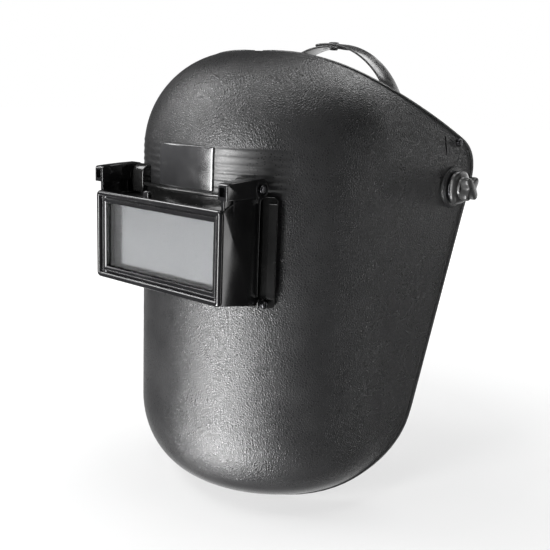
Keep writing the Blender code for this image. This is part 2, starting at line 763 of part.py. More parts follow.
def rear_strap(side, upper, name):
    """A strap from the headband's end to the ratchet. Its last stretch is a toothed rack."""
    middle = PINION_Z
    start, end = radians(113), radians(196)
    columns = 24

    def heights(t):
        angle = lerp(start, end, t)
        narrow = smooth((angle - radians(140)) / radians(14))
        if upper:
            return lerp(BAND_LOW + 1, middle + PINION_R + 1.0, narrow), lerp(BAND_HIGH - 1, BAND_HIGH, narrow)
        return lerp(BAND_LOW + 1, BAND_LOW, narrow), lerp(BAND_HIGH - 1, middle - PINION_R - 1.0, narrow)

    outer = -BAND_T - STRAP_GAP
    inner = outer - STRAP_T
    body = band(name, side * start, side * end, outer, inner, heights, columns)
    pitch = 2 * pi * PINION_R / PINION_TEETH
    teeth = []
    for i in range(-4, 5):
        x = i * pitch
        y = HEAD_Y + (HEAD_B + outer - STRAP_T / 2) * sqrt(1 - (x / (HEAD_A + outer)) ** 2)
        root = middle + (PINION_R + 1.6 if upper else -PINION_R - 1.6)
        tip = middle + (PINION_R - 0.5 if upper else -PINION_R + 0.5)
        tooth = [(x - 0.95, root), (x + 0.95, root), (x + 0.4, tip), (x - 0.4, tip)]
        teeth.append(prism(tooth, "Y", y - 0.55, y + 0.55))
    union(body, *teeth)
    return cut(body, rivet_hole(ARM_RIVET_Y[1], side))


def ratchet_housing():
    """A curved tray behind the head that the two racks run through."""
    reach = RATCHET_HALF
    mid = -BAND_T - STRAP_GAP - STRAP_T / 2
    low, high = BAND_LOW - RATCHET_RISE, BAND_HIGH + RATCHET_RISE
    body = band("ratchet_housing", pi - reach, pi + reach, mid - 2.6, mid - 4.4, lambda t: (low, high), 14)
    rails = []
    for z0, z1 in ((low, BAND_LOW - 0.6), (BAND_HIGH + 0.6, high)):
        rail_heights = lambda t, a=z0, b=z1: (a, b)
        rails.append(band("rail", pi - reach, pi + reach, mid + 2.4, mid - 3.0, rail_heights, 14))
    return union(body, *rails)


def ratchet_cover():
    reach = RATCHET_HALF
    mid = -BAND_T - STRAP_GAP - STRAP_T / 2
    heights = (BAND_LOW - RATCHET_RISE, BAND_HIGH + RATCHET_RISE)
    body = band("ratchet_cover", pi - reach, pi + reach, mid + 5.0, mid + 2.8, lambda t: heights, 14)
    collar = ring(STRAP_MID_Y + 3.2, STRAP_MID_Y + 6.4, 9.0, 13.0, (0, 0, PINION_Z), (0, 1, 0), 24)
    union(body, collar)
    return cut(body, rod(90, 130, 9.0, (0, 0, PINION_Z), (0, 1, 0), 24))


def nape_pad():
    reach = radians(22)
    mid = -BAND_T - STRAP_GAP - STRAP_T / 2
    return band("nape_pad", pi - reach, pi + reach, mid - 4.8, mid - 11.5, lambda t: (4.0, 37.0), 12)


def pinion():
    outline = []
    for i in range(PINION_TEETH):
        for step, radius in ((-0.36, 4.7), (-0.17, 6.5), (0.17, 6.5), (0.36, 4.7)):
            angle = 2 * pi * (i + step) / PINION_TEETH
            outline.append((radius * cos(angle), PINION_Z + radius * sin(angle)))
    body = prism(outline, "Y", STRAP_MID_Y - 1.8, STRAP_MID_Y + 2.2, "pinion")
    shaft = rod(STRAP_MID_Y + 2.0, STRAP_MID_Y + 15, 3.0, (0, 0, PINION_Z), (0, 1, 0), 16)
    return union(body, shaft)


def ratchet_knob():
    """A fluted knob over the cover's collar."""
    base = STRAP_MID_Y + 6.9
    outline = []
    for i in range(48):
        angle = 2 * pi * i / 48
        radius = 17.5 + 0.7 * cos(16 * angle)
        outline.append((radius * cos(angle), PINION_Z + radius * sin(angle)))
    body = prism(outline, "Y", base, base + 12, "ratchet_knob")
    hollow = rod(base - 1, base + 2.4, 14.2, (0, 0, PINION_Z), (0, 1, 0), 24)
    bore = rod(base, base + 8.6, 3.3, (0, 0, PINION_Z), (0, 1, 0), 16)
    return cut(body, hollow, bore)


def ratchet_spring():
    """A round click spring with two bent fingers, inside the knob's hollow."""
    base = STRAP_MID_Y + 6.65
    body = ring(base + 0.1, base + 0.9, 8.0, 12.6, (0, 0, PINION_Z), (0, 1, 0), 24, "ratchet_spring")
    fingers = []
    for x0, x1 in ((9, 12), (-12, -9)):
        fingers.append(box(x0, x1, base + 0.4, base + 2.0, PINION_Z - 1.2, PINION_Z + 1.2))
    return union(body, *fingers)


# ---------------------------------------------------------------- assembly


def build():
    clear_scene()
    black = material("shell_black", (0.028, 0.028, 0.030), 0.45)
    gloss = material("gloss_black", (0.012, 0.012, 0.013), 0.15)
    plastic = material("headgear_black", (0.025, 0.025, 0.026), 0.3)
    steel = material("steel", (0.6, 0.6, 0.62), 0.3, 1.0)
    brass = material("insert_brass", (0.7, 0.5, 0.25), 0.35, 1.0)
    rubber = material("rubber", (0.02, 0.02, 0.02), 0.8)
    cloth = material("pad_cloth", (0.05, 0.05, 0.055), 0.9)
    clear = material("clear_plastic", (0.85, 0.87, 0.88), 0.05, 0.0, 0.35)
    dark = material("filter_glass", (0.33, 0.33, 0.34), 0.3, 0.8)

    shell_axis = axis_empty("shell_axis", 0, 0, 0)
    flip_axis = axis_empty("flip_axis", 0, FLIP_Y, FLIP_Z, shell_axis)
    knob_axes = {side: axis_empty(f"tension_axis_{label}", side * KNOB_AXIS_X, 0, 0) for side, label in SIDES}
    ratchet_axis = axis_empty("ratchet_axis", 0, STRAP_MID_Y, PINION_Z)

    def add(obj, parent, look, name=None):
        if name:
            obj.name = name
            obj.data.name = name
        finish_object(obj, parent, look)

    add(shell(), shell_axis, black)
    add(forehead_panel(), shell_axis, gloss)
    add(window_housing(), shell_axis, gloss)
    add(inner_clamp_frame(), shell_axis, gloss)
    for index in range(4):
        add(housing_screw(index), shell_axis, steel)
    add(plate("fixed_clear_plate", -178.1, -176.1), shell_axis, clear)
    add(lens_frame("plate_retainer", 101, 45, -180.9, -178.5), shell_axis, rubber)

    add(flip_holder(), flip_axis, gloss)
    add(plate("cover_lens", -193.3, -191.7), flip_axis, clear)
    add(lens_frame("lens_gasket", 105.6, 48.2, -191.4, -186.9), flip_axis, rubber)
    add(plate("filter_lens", -186.6, -184.4), flip_axis, dark)
    add(lens_frame("lens_clip", 101, 44, -184.1, -183.3), flip_axis, steel)

    for side, label in SIDES:
        add(hinge_pin(side), shell_axis, steel, f"hinge_pin_{label}")
        add(latch_stud(side), shell_axis, steel, f"latch_stud_{label}")
        add(stop_pin(side), shell_axis, steel, f"stop_pin_{label}")
        out = (side, 0, 0)
        add(tension_knob(side), knob_axes[side], gloss, f"tension_knob_{label}")
        add(ring(119.2, 127.2, 3.35, 5.0, direction=out), knob_axes[side], brass, f"knob_insert_{label}")
        add(ring(117.35, 118.35, 3.5, 12.6, direction=out), None, steel, f"knob_washer_{label}")
        add(ring(108.0, 109.8, 3.5, 10.5, direction=out), None, rubber, f"pivot_washer_{label}")
        add(ear_bolt(side), None, steel, f"ear_bolt_{label}")
        add(tilt_stop(side), None, gloss, f"tilt_stop_{label}")
        add(side_arm(side), None, plastic, f"side_arm_{label}")
        rivets = ((ARM_RIVET_Y[0], "front", -BAND_T - 0.4), (ARM_RIVET_Y[1], "rear", -STRAP_T - 2.7))
        for y, spot, inner in rivets:
            add(rivet(f"arm_rivet_{spot}_{label}", y, side, inner, ARM_T + 0.9), None, steel)
        add(rivet(f"crown_rivet_{label}", CROWN_Y, side, -STRAP_T - 4.4, 0.4), None, steel)

    add(headband(), None, plastic)
    add(sweatband(), None, cloth)
    add(crown_strap(1, 0.0, "crown_strap_left"), None, plastic)
    add(crown_strap(-1, -STRAP_T - 0.4, "crown_strap_right"), None, plastic)
    add(crown_stud(), None, plastic)
    add(rear_strap(1, True, "rear_strap_left"), None, plastic)
    add(rear_strap(-1, False, "rear_strap_right"), None, plastic)

    add(ratchet_housing(), ratchet_axis, plastic)
    add(ratchet_cover(), ratchet_axis, plastic)
    add(nape_pad(), ratchet_axis, cloth)
    add(ratchet_spring(), ratchet_axis, steel)
    add(pinion(), ratchet_axis, plastic)
    add(ratchet_knob(), ratchet_axis, black)


build()
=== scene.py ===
"""Looks of the welding helmet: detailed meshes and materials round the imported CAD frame.

Lengths are in millimetres, in the CAD's own frame: +Z up, the face looks towards -Y, the wearer's
left is +X. MM turns them into metres when a mesh is made. Every shape is a (points, faces) pair
until piece() turns it into an object.
"""

from math import acos, asin, atan2, cos, pi, radians, sin, sqrt, tan

import bmesh
import bpy
from mathutils import Matrix, Vector


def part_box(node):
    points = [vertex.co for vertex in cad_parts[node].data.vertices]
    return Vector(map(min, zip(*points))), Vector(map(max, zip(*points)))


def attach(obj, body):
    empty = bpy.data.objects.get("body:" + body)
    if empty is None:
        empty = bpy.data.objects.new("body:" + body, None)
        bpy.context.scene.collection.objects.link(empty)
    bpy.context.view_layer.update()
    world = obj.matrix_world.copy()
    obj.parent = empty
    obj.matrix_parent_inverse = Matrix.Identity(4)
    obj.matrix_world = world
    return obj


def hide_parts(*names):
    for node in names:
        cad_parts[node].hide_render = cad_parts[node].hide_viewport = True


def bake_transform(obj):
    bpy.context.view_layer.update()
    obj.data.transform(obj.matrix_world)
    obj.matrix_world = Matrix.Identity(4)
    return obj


MM = 0.001

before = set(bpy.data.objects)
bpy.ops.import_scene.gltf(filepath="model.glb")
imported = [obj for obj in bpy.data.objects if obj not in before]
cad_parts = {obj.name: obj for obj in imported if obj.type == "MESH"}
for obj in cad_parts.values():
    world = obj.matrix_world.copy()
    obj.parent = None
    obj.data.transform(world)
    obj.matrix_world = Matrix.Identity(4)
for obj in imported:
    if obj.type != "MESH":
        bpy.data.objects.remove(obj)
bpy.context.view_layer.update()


def span(node):
    """Lowest and highest corner of a CAD node, in millimetres."""
    low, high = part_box(node)
    return Vector(low) / MM, Vector(high) / MM


def middle(node):
    low, high = span(node)
    return (low + high) / 2


# ---- sizes read from the frame ----
LENS_LOW, LENS_HIGH = span("cover_lens")
WINDOW_Z = (LENS_LOW.z + LENS_HIGH.z) / 2
GLASS_W = LENS_HIGH.x - LENS_LOW.x
HOLDER_LOW, HOLDER_HIGH = span("flip_holder")
BEZEL_Y = HOLDER_LOW.y
ARM_OUT = HOLDER_HIGH.x
FLIP_Y, FLIP_Z = middle("hinge_pin_left").yz
STUD_Y, STUD_Z = middle("latch_stud_left").yz
STOP_Y, STOP_Z = middle("stop_pin_left").yz
STOP_IN = span("stop_pin_left")[0].x
SHELL_LOW = span("shell")[0].z
KNOB_OUT = span("tension_knob_left")[1].x
PINION_Z = middle("pinion").z

# ---- shell, as in the CAD ----
WALL = 2.5
FRONT_R = 107.1
FRONT_Y = -63.5
FLARE = radians(6.5)
STRAIGHT = pi / 2 - FLARE
DOME_Z = 20.0
DOME_R = 74.0
CHIN_Z = -176.0
CHIN_DROP = 60.0
CHIN_TUCK = 48.0
CHIN_END = radians(80)
RIM_SLOPE = -1.81
RIM_AT = (24.3, 27.6)
EDGE_SLOPE = 0.311
EDGE_AT = (21.3, 2.6)
EAR_FILLET = 27.0
JAW_FILLET = 100.0
BEAD_WIDTH = 2.6
BEAD_OUT = 0.75
BEAD_ZONE = 4.4
RIB_TOP = 26.9
RIB_STEP = 4.85
RIB_LOW = -0.6
RIB_OUT = 0.42
RIB_START = radians(13.9)
RIB_FADE = radians(39)
BOSS_X = 117.0
BOSS_R = 14.8
PANEL_HALF = radians(13.85)
PANEL_OUT = 1.15
PANEL_LOW = span("forehead_panel")[0].z
PANEL_HIGH = span("forehead_panel")[1].z

# ---- window ----
BEZEL_W = 123.4
BEZEL_H = 63.0
BEZEL_LOW = WINDOW_Z - BEZEL_H / 2
BEZEL_BACK = -194.6
OPEN_W = 106.4
SADDLE_R = 110.0
SADDLE_HALF = radians(38.5)
SADDLE_LOW = -78.0
SADDLE_HIGH = -1.9
TUNNEL_Y = -181.4
LUG_IN = 44.0
HOUSING_GAP = 1.4
LIP_HALF = radians(29.8)
STRIP_START = radians(35.6)
STRIP_END = radians(38.2)
STRIP_LOW = -71.2
STRIP_HIGH = -6.0
NUB_X = -12.0
SIDE_IN = 58.2
SIDE_OUT = 60.5
ARM_IN = 56.5
REAR_EDGE_Y = -158.4
POCKET_END = -182.8
FLOOR_DROP = 6.0
WEB_LOW = -9.5

# ---- headgear ----
HEAD_A = 79.0
HEAD_B = 98.0
HEAD_Y = 8.0
BAND_T = 1.8
BAND_LOW = 8.0
BAND_HIGH = 33.0
BAND_END = radians(123)
STRAP_T = 1.6
ARM_X = 105.0
ARM_T = 2.6
CROWN_A = 74.3
CROWN_NARROW = 0.08
CROWN_TOP = 104.0
CROWN_LOW = 32.0
CROWN_WIDTH = 20.0
CROWN_Y = middle("crown_stud").y
RIVET_Z = 20.0
ARM_RIVET_Y = (-50.0, 50.0)
STRAP_OUT = -BAND_T - 0.4
STRAP_OFFSET = STRAP_OUT - STRAP_T / 2
STRAP_MID_Y = HEAD_Y + HEAD_B + STRAP_OFFSET
PINION_R = 6.0
PINION_TEETH = 10
SIDES = ((1, "left"), (-1, "right"))

# ---- camera ----
CAMERA_AT = (431.5, -585.4, 74.0)
CAMERA_TURN = radians(39.83)
CAMERA_PITCH = radians(12.74)
CAMERA_ROLL = radians(2.22)
CAMERA_LENS = 56.57

# ---- soft panels, in metres: name, degrees from straight ahead, degrees up, width, height, radiance ----
LIGHT_DISTANCE = 1.5
LIGHT_AIM = (0, -0.1, -0.05)
LIGHTS = (
    ("key", -7, -8, 0.45, 1.9, 22.0),
    ("chin", -6, -45, 0.85, 0.5, 33.0),
    ("left_top", -60, 45, 0.7, 0.6, 11.5),
    ("overhead", 0, 85, 0.7, 0.6, 7.0),
    ("rim", 120, -8, 0.2, 1.9, 4.4),
    ("back_top", 180, 50, 0.7, 0.6, 5.5),
    ("forehead", -58, 17, 0.4, 0.35, 7.0),
    ("back_fill", 178, 8, 1.2, 1.0, 2.0),
)
WORLD_DIM = 0.03
WORLD_BACK = 1.2


def lerp(a, b, t):
    return a + (b - a) * t


def smooth(value):
    value = max(0.0, min(1.0, value))
    return value * value * (3 - 2 * value)


# ---- shapes ----


def join(*shapes):
    """One (points, faces) shape from several."""
    points, faces = [], []
    for more_points, more_faces in shapes:
        start = len(points)
        points += more_points
        faces += [tuple(start + i for i in face) for face in more_faces]
    return points, faces


def loft(loops, closed=False):
    """A skin over closed loops with the same number of points, with flat ends unless closed."""
    count = len(loops[0])
    points = [p for loop in loops for p in loop]
    faces = []
    for i in range(len(loops) if closed else len(loops) - 1):
        one, two = i * count, ((i + 1) % len(loops)) * count
        for j in range(count):
            k = (j + 1) % count
            faces.append((one + j, one + k, two + k, two + j))
    if not closed:
        faces.append(tuple(range(count)))
        faces.append(tuple((len(loops) - 1) * count + j for j in range(count)))
    return points, faces


def along_axis(axis):
    """Places (a, b) of an outline and a depth on the other two axes and on this one."""
    if axis == "X":
        return lambda a, b, depth: (depth, a, b)
    if axis == "Y":
        return lambda a, b, depth: (a, depth, b)
    return lambda a, b, depth: (a, b, depth)


def inset(outline, distance):
    """The outline moved inwards by distance, corner by corner."""
    count = len(outline)
    area = 0
    for (a0, b0), (a1, b1) in zip(outline, outline[1:] + outline[:1]):
        area += a0 * b1 - a1 * b0
    turn = 1 if area > 0 else -1
    moved = []
    for i in range(count):
        here = Vector(outline[i])
        before = (here - Vector(outline[i - 1])).normalized()
        after = (Vector(outline[(i + 1) % count]) - here).normalized()
        left = Vector((-before.y, before.x)) * turn
        right = Vector((-after.y, after.x)) * turn
        half = left + right
        scale = 2 / max(half.length_squared, 0.5)
        moved.append(tuple(here + half * distance * scale))
    return moved


def edge_steps(low, high, edge, steps):
    """(depth, inset) pairs that round both ends of an extrusion."""
    angles = [pi / 2 * i / steps for i in range(steps + 1)]
    first = [(low + edge * (1 - cos(a)), edge * (1 - sin(a))) for a in angles]
    last = [(high - (depth - low), inward) for depth, inward in reversed(first)]
    return first + last


def sided(side, a, b):
    """Two distances from the middle plane as x values on this side, lowest first."""
    return sorted((side * a, side * b))


def soft_prism(outline, axis, low, high, edge=0.5, steps=3, place=None):
    """An outline extruded along an axis, with rounded edges round both ends."""
    place = place or along_axis(axis)
    loops = []
    for depth, inward in edge_steps(low, high, edge, steps):
        loops.append([place(a, b, depth) for a, b in inset(outline, inward)])
    return loft(loops)


def side_prism(side, outline, near, far, edge=0.5, steps=3):
    """A soft prism of a (y, z) outline, between two distances from the middle plane on one side."""
    return soft_prism(outline, "X", *sided(side, near, far), edge, steps)


def soft_frame(outer, inner, low, high, edge, steps, rings, place):
    """A ring between two outlines with the same number of points, with rounded edges."""
    loops = []
    for depth, inward in edge_steps(low, high, edge, steps):
        loops.append([place(a, b, depth) for a, b in inset(outer, inward)])
    top_outer, top_inner = inset(outer, edge), inset(inner, -edge)
    for i in range(1, rings):
        loops.append([place(*blend_points(p, q, i / rings), high) for p, q in zip(top_outer, top_inner)])
    for depth, inward in reversed(edge_steps(low, high, edge, steps)):
        loops.append([place(a, b, depth) for a, b in inset(inner, -inward)])
    for i in range(1, rings):
        loops.append([place(*blend_points(q, p, i / rings), low) for p, q in zip(top_outer, top_inner)])
    return loft(loops, closed=True)


def blend_points(p, q, t):
    return lerp(p[0], q[0], t), lerp(p[1], q[1], t)


def sweep(outline, section, axis):
    """A closed section of (inset, depth) points carried round a closed outline."""
    place = along_axis(axis)
    loops = []
    for inward, depth in section:
        loops.append([place(a, b, depth) for a, b in inset(outline, inward)])
    return loft(loops, closed=True)


def rounded(width, height, radius, a=0.0, b=0.0, steps=6, pieces=1):
    """A rectangle with round corners, centred on (a, b). Each straight side is split into pieces."""
    points = []
    corners = ((1, 1), (-1, 1), (-1, -1), (1, -1))

    def on_corner(corner, quarters):
        angle = quarters * pi / 2
        sa, sb = corners[corner % 4]
        return (
            a + sa * (width / 2 - radius) + radius * cos(angle),
            b + sb * (height / 2 - radius) + radius * sin(angle),
        )

    for turn in range(4):
        points += [on_corner(turn, turn + i / steps) for i in range(steps + 1)]
        start, target = points[-1], on_corner(turn + 1, turn + 1)
        points += [blend_points(start, target, i / pieces) for i in range(1, pieces)]
    return points


def turned(profile, origin=(0, 0, 0), direction=(1, 0, 0), count=40):
    """A profile of (distance along, radius) points turned about an axis. It may start and end on it."""
    turn = Vector(direction).normalized().to_track_quat("Z", "Y").to_matrix()
    points, faces, rings = [], [], []
    for along, radius in profile:
        angles = [0.0] if radius < 1e-6 else [2 * pi * i / count for i in range(count)]
        rings.append(list(range(len(points), len(points) + len(angles))))
        for angle in angles:
            local = Vector((radius * cos(angle), radius * sin(angle), along))
            points.append(tuple(Vector(origin) + turn @ local))
    loop = rings + ([rings[0]] if profile[0][1] > 1e-6 else [])
    for one, two in zip(loop, loop[1:]):
        for i in range(count):
            j = (i + 1) % count
            if len(one) == 1:
                faces.append((one[0], two[i], two[j]))
            elif len(two) == 1:
                faces.append((one[i], two[0], one[j]))
            else:
                faces.append((one[i], two[i], two[j], one[j]))
    return points, faces


def eased(profile, edge=0.3, steps=3):
    """The same profile with its inner corners rounded by up to edge."""
    result = [profile[0]]
    for before, here, after in zip(profile, profile[1:], profile[2:]):
        before, here, after = Vector(before), Vector(here), Vector(after)
        reach = min(edge, (here - before).length * 0.45, (after - here).length * 0.45)
        start = here + (before - here).normalized() * reach
        end = here + (after - here).normalized() * reach
        for i in range(steps + 1):
            t = i / steps
            point = start * (1 - t) ** 2 + here * 2 * t * (1 - t) + end * t * t
            result.append((point.x, point.y))
    result.append(profile[-1])
    return result


def lathe(profile, edge, origin, direction, count=40):
    """A turned piece whose profile has its corners rounded by edge."""
    return turned(eased(profile, edge), origin, direction, count)


def thick_sheet(outer, inner, bulge):
    """A sheet between two grids of points, with a rounded edge that stands out by bulge."""
    rows, columns = len(outer), len(outer[0])
    points = [tuple(p) for row in outer for p in row] + [tuple(p) for row in inner for p in row]
    offset = rows * columns
    faces = []
    for i in range(rows - 1):
        for j in range(columns - 1):
            a = i * columns + j
            faces.append((a, a + 1, a + columns + 1, a + columns))
            faces.append((offset + a, offset + a + columns, offset + a + columns + 1, offset + a + 1))
    rim = [(0, j) for j in range(columns)]
    rim += [(i, columns - 1) for i in range(1, rows)]
    rim += [(rows - 1, j) for j in range(columns - 2, -1, -1)]
    rim += [(i, 0) for i in range(rows - 2, 0, -1)]
    rings = []
    for i, j in rim:
        inside_i = 1 if i == 0 else rows - 2 if i == rows - 1 else i
        inside_j = 1 if j == 0 else columns - 2 if j == columns - 1 else j
        top, under = Vector(outer[i][j]), Vector(inner[i][j])
        away = top - Vector(outer[inside_i][inside_j])
        away = away.normalized() if away.length > 1e-6 else Vector((0, 0, 0))
        ring = [i * columns + j]
        centre, half = (top + under) / 2, (top - under) / 2
        for angle in (pi / 4, pi / 2, 3 * pi / 4):
            points.append(tuple(centre + half * cos(angle) + away * bulge * sin(angle)))
            ring.append(len(points) - 1)
        ring.append(offset + i * columns + j)
        rings.append(ring)
    for one, two in zip(rings, rings[1:] + rings[:1]):
        for a in range(4):
            faces.append((one[a], one[a + 1], two[a + 1], two[a]))
    return points, faces


def rounded_section(u0, u1, v0, v1, edge, steps=2):
    """A rectangle's outline with rounded corners."""
    return rounded(u1 - u0, v1 - v0, edge, (u0 + u1) / 2, (v0 + v1) / 2, steps)


# ---- objects ----


def mesh_of(name, shape, sharp=40):
    mesh = bpy.data.meshes.new(name)
    mesh.from_pydata([Vector(p) * MM for p in shape[0]], [], shape[1])
    bm = bmesh.new()
    bm.from_mesh(mesh)
    bmesh.ops.remove_doubles(bm, verts=bm.verts, dist=0.0000005)
    bmesh.ops.recalc_face_normals(bm, faces=bm.faces)
    bm.to_mesh(mesh)
    bm.free()
    mesh.shade_smooth()
    mesh.set_sharp_from_angle(angle=radians(sharp))
    obj = bpy.data.objects.new(name, mesh)
    bpy.context.scene.collection.objects.link(obj)
    return obj


def carve(obj, *shapes, sharp=40):
    """Cuts shapes out of obj and removes them."""
    cutters = [mesh_of("cutter", shape) for shape in shapes]
    for cutter in cutters:
        step = obj.modifiers.new("carve", "BOOLEAN")
        step.operation = "DIFFERENCE"
        step.solver = "EXACT"
        step.object = cutter
    bpy.context.view_layer.update()
    made = bpy.data.meshes.new_from_object(obj.evaluated_get(bpy.context.evaluated_depsgraph_get()))
    obj.modifiers.clear()
    obj.data = made
    for cutter in cutters:
        bpy.data.objects.remove(cutter, do_unlink=True)
    made.shade_smooth()
    made.set_sharp_from_angle(angle=radians(sharp))
    return obj


def absorb(obj, others, sharp=40):
    """Moves the meshes of the other objects into obj and removes those objects."""
    bm = bmesh.new()
    for source in [obj, *others]:
        bm.from_mesh(source.data)
    bm.to_mesh(obj.data)
    bm.free()
    for other in others:
        bpy.data.objects.remove(other, do_unlink=True)
    obj.data.shade_smooth()
    obj.data.set_sharp_from_angle(angle=radians(sharp))


def dress(obj, look, body, slot, *nodes):
    """Gives a piece its material and its body, and hides the CAD nodes it stands for."""
    obj.data.materials.clear()
    obj.data.materials.append(look)
    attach(obj, body)
    if nodes:
        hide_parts(*nodes)
    return obj


def piece(name, shape, look, body, slot, *nodes):
    return dress(mesh_of(name, shape), look, body, slot, *nodes)


# ---- materials ----


class Nodes:
    """Short calls for building a material's node tree."""

    def __init__(self, name, colour, roughness, metallic=0.0):
        self.material = bpy.data.materials.new(name)
        self.material.use_nodes = True
        self.tree = self.material.node_tree
        self.shader = self.tree.nodes["Principled BSDF"]
        self.shader.inputs["Base Color"].default_value = (*colour, 1)
        self.shader.inputs["Roughness"].default_value = roughness
        self.shader.inputs["Metallic"].default_value = metallic
        self.place = self.add("ShaderNodeTexCoord").outputs["Object"]
        self.height = None

    def add(self, kind, **values):
        node = self.tree.nodes.new(kind)
        for key, value in values.items():
            setattr(node, key, value)
        return node

    def link(self, source, target):
        self.tree.links.new(source, target)

    def set(self, name, value):
        self.shader.inputs[name].default_value = value
        return self

    def noise(self, scale, detail=3.0, roughness=0.5, stretch=None):
        node = self.add("ShaderNodeTexNoise")
        node.inputs["Scale"].default_value = scale
        node.inputs["Detail"].default_value = detail
        node.inputs["Roughness"].default_value = roughness
        self.link(self.stretched(stretch), node.inputs["Vector"])
        return node.outputs["Fac"]

    def stretched(self, stretch):
        if not stretch:
            return self.place
        mapping = self.add("ShaderNodeMapping")
        mapping.inputs["Scale"].default_value = stretch
        self.link(self.place, mapping.inputs["Vector"])
        return mapping.outputs["Vector"]

    def cells(self, scale, feature="F1", vector=None):
        node = self.add("ShaderNodeTexVoronoi", feature=feature)
        node.inputs["Scale"].default_value = scale
        self.link(vector or self.place, node.inputs["Vector"])
        return node.outputs["Distance"]

    def weave(self, scale, direction):
        node = self.add("ShaderNodeTexWave", bands_direction=direction)
        node.inputs["Scale"].default_value = scale
        node.inputs["Distortion"].default_value = 0.6
        self.link(self.place, node.inputs["Vector"])
        return node.outputs["Fac"]

    def remap(self, value, low, high, to_low, to_high):
        node = self.add("ShaderNodeMapRange")
        self.link(value, node.inputs["Value"])
        for key, number in (("From Min", low), ("From Max", high), ("To Min", to_low), ("To Max", to_high)):
            node.inputs[key].default_value = number
        return node.outputs["Result"]

    def maths(self, operation, a, b):
        node = self.add("ShaderNodeMath", operation=operation)
        for socket, value in zip(node.inputs, (a, b)):
            if isinstance(value, (int, float)):
                socket.default_value = value
            else:
                self.link(value, socket)
        return node.outputs["Value"]

    def mix(self, factor, one, two):
        node = self.add("ShaderNodeMix", data_type="RGBA")
        self.link(factor, node.inputs["Factor"])
        node.inputs["A"].default_value = (*one, 1)
        node.inputs["B"].default_value = (*two, 1)
        return node.outputs["Result"]

    def mottle(self, scale, one, two, detail=3.0):
        """Two colours in soft patches."""
        self.colour(self.mix(self.remap(self.noise(scale, detail), 0.3, 0.7, 0, 1), one, two))

    def uneven(self, scale, detail, low, high, **options):
        """Roughness that wanders between low and high."""
        self.rough(self.remap(self.noise(scale, detail, **options), 0.3, 0.7, low, high))

    def axis(self, name):
        node = self.add("ShaderNodeSeparateXYZ")
        self.link(self.place, node.inputs["Vector"])
        return node.outputs[name]

    def colour(self, source):
        self.link(source, self.shader.inputs["Base Color"])

    def rough(self, source):
        self.link(source, self.shader.inputs["Roughness"])

    def bump(self, height, strength, distance):
        """Adds a bump of this depth in millimetres over any bump that is there already."""
        node = self.add("ShaderNodeBump")
        if isinstance(strength, (int, float)):
            node.inputs["Strength"].default_value = strength
        else:
            self.link(strength, node.inputs["Strength"])
        node.inputs["Distance"].default_value = distance * MM
        self.link(height, node.inputs["Height"])
        if self.height:
            self.link(self.height, node.inputs["Normal"])
        self.height = node.outputs["Normal"]
        self.link(self.height, self.shader.inputs["Normal"])


def grained_shell():
    """Satin charcoal plastic with a leather grain. The ribs and the lip under the chin are plain."""
    n = Nodes("grained_shell", (0.016, 0.016, 0.0165), 0.4)
    warp = n.add("ShaderNodeVectorMath", operation="ADD")
    wobble = n.add("ShaderNodeTexNoise")
    wobble.inputs["Scale"].default_value = 260
    n.link(n.place, wobble.inputs["Vector"])
    shift = n.add("ShaderNodeVectorMath", operation="SCALE")
    shift.inputs["Scale"].default_value = 0.0009
    n.link(wobble.outputs["Color"], shift.inputs[0])
    n.link(n.place, warp.inputs[0])
    n.link(shift.outputs["Vector"], warp.inputs[1])
    creases = n.cells(620, "DISTANCE_TO_EDGE", warp.outputs["Vector"])
    pebbles = n.remap(creases, 0.0, 0.3, 0.0, 1.0)
    fine = n.noise(1300, 2)
    forward = n.remap(n.axis("Y"), -0.148, -0.141, 1, 0)
    over_foot = n.remap(n.axis("Z"), -0.003, -0.001, 0, 1)
    under_top = n.remap(n.axis("Z"), 0.0285, 0.0295, 1, 0)
    ribbed = n.maths("MULTIPLY", n.maths("MULTIPLY", forward, over_foot), under_top)
    above_lip = n.remap(n.axis("Z"), -0.219, -0.213, 0.0, 1.0)
    grained = n.maths("MULTIPLY", above_lip, n.maths("SUBTRACT", 1.0, ribbed))
    n.bump(pebbles, n.maths("MULTIPLY", grained, 0.8), 0.17)
    n.bump(fine, n.maths("MULTIPLY", grained, 0.5), 0.15)
    blotches = n.noise(38, 4)
    n.colour(n.mix(n.remap(blotches, 0.35, 0.65, 0, 1), (0.014, 0.014, 0.0145), (0.019, 0.019, 0.0195)))
    wear = n.remap(n.noise(70, 5), 0.3, 0.7, -0.03, 0.03)
    n.rough(n.maths("ADD", wear, n.remap(pebbles, 0, 1, 0.4, 0.27)))
    return n.material


def gloss_black():
    """Polished black moulding with faint sink marks."""
    n = Nodes("gloss_black", (0.007, 0.007, 0.0075), 0.09)
    n.mottle(30, (0.006, 0.006, 0.0065), (0.010, 0.010, 0.0105))
    n.rough(n.remap(n.noise(60, 3, 0.5), 0.3, 0.75, 0.1, 0.17))
    n.bump(n.noise(45, 1), 0.1, 0.06)
    return n.material


def satin_black(name, tone, roughness):
    n = Nodes(name, (tone, tone, tone * 1.02), roughness)
    n.mottle(55, (tone * 0.8,) * 3, (tone * 1.25,) * 3)
    n.uneven(300, 4, roughness - 0.06, roughness + 0.08)
    n.bump(n.noise(1400, 2), 0.2, 0.05)
    return n.material


def panel_plastic():
    """The forehead panel: glossy, with a very fine drawn texture."""
    n = Nodes("panel_gloss", (0.02, 0.02, 0.021), 0.16)
    n.set("Specular IOR Level", 1.0)
    n.uneven(90, 5, 0.12, 0.26)
    n.bump(n.noise(500, 2, stretch=(1, 1, 6)), 0.2, 0.05)
    n.mottle(26, (0.017, 0.017, 0.018), (0.028, 0.028, 0.029))
    return n.material


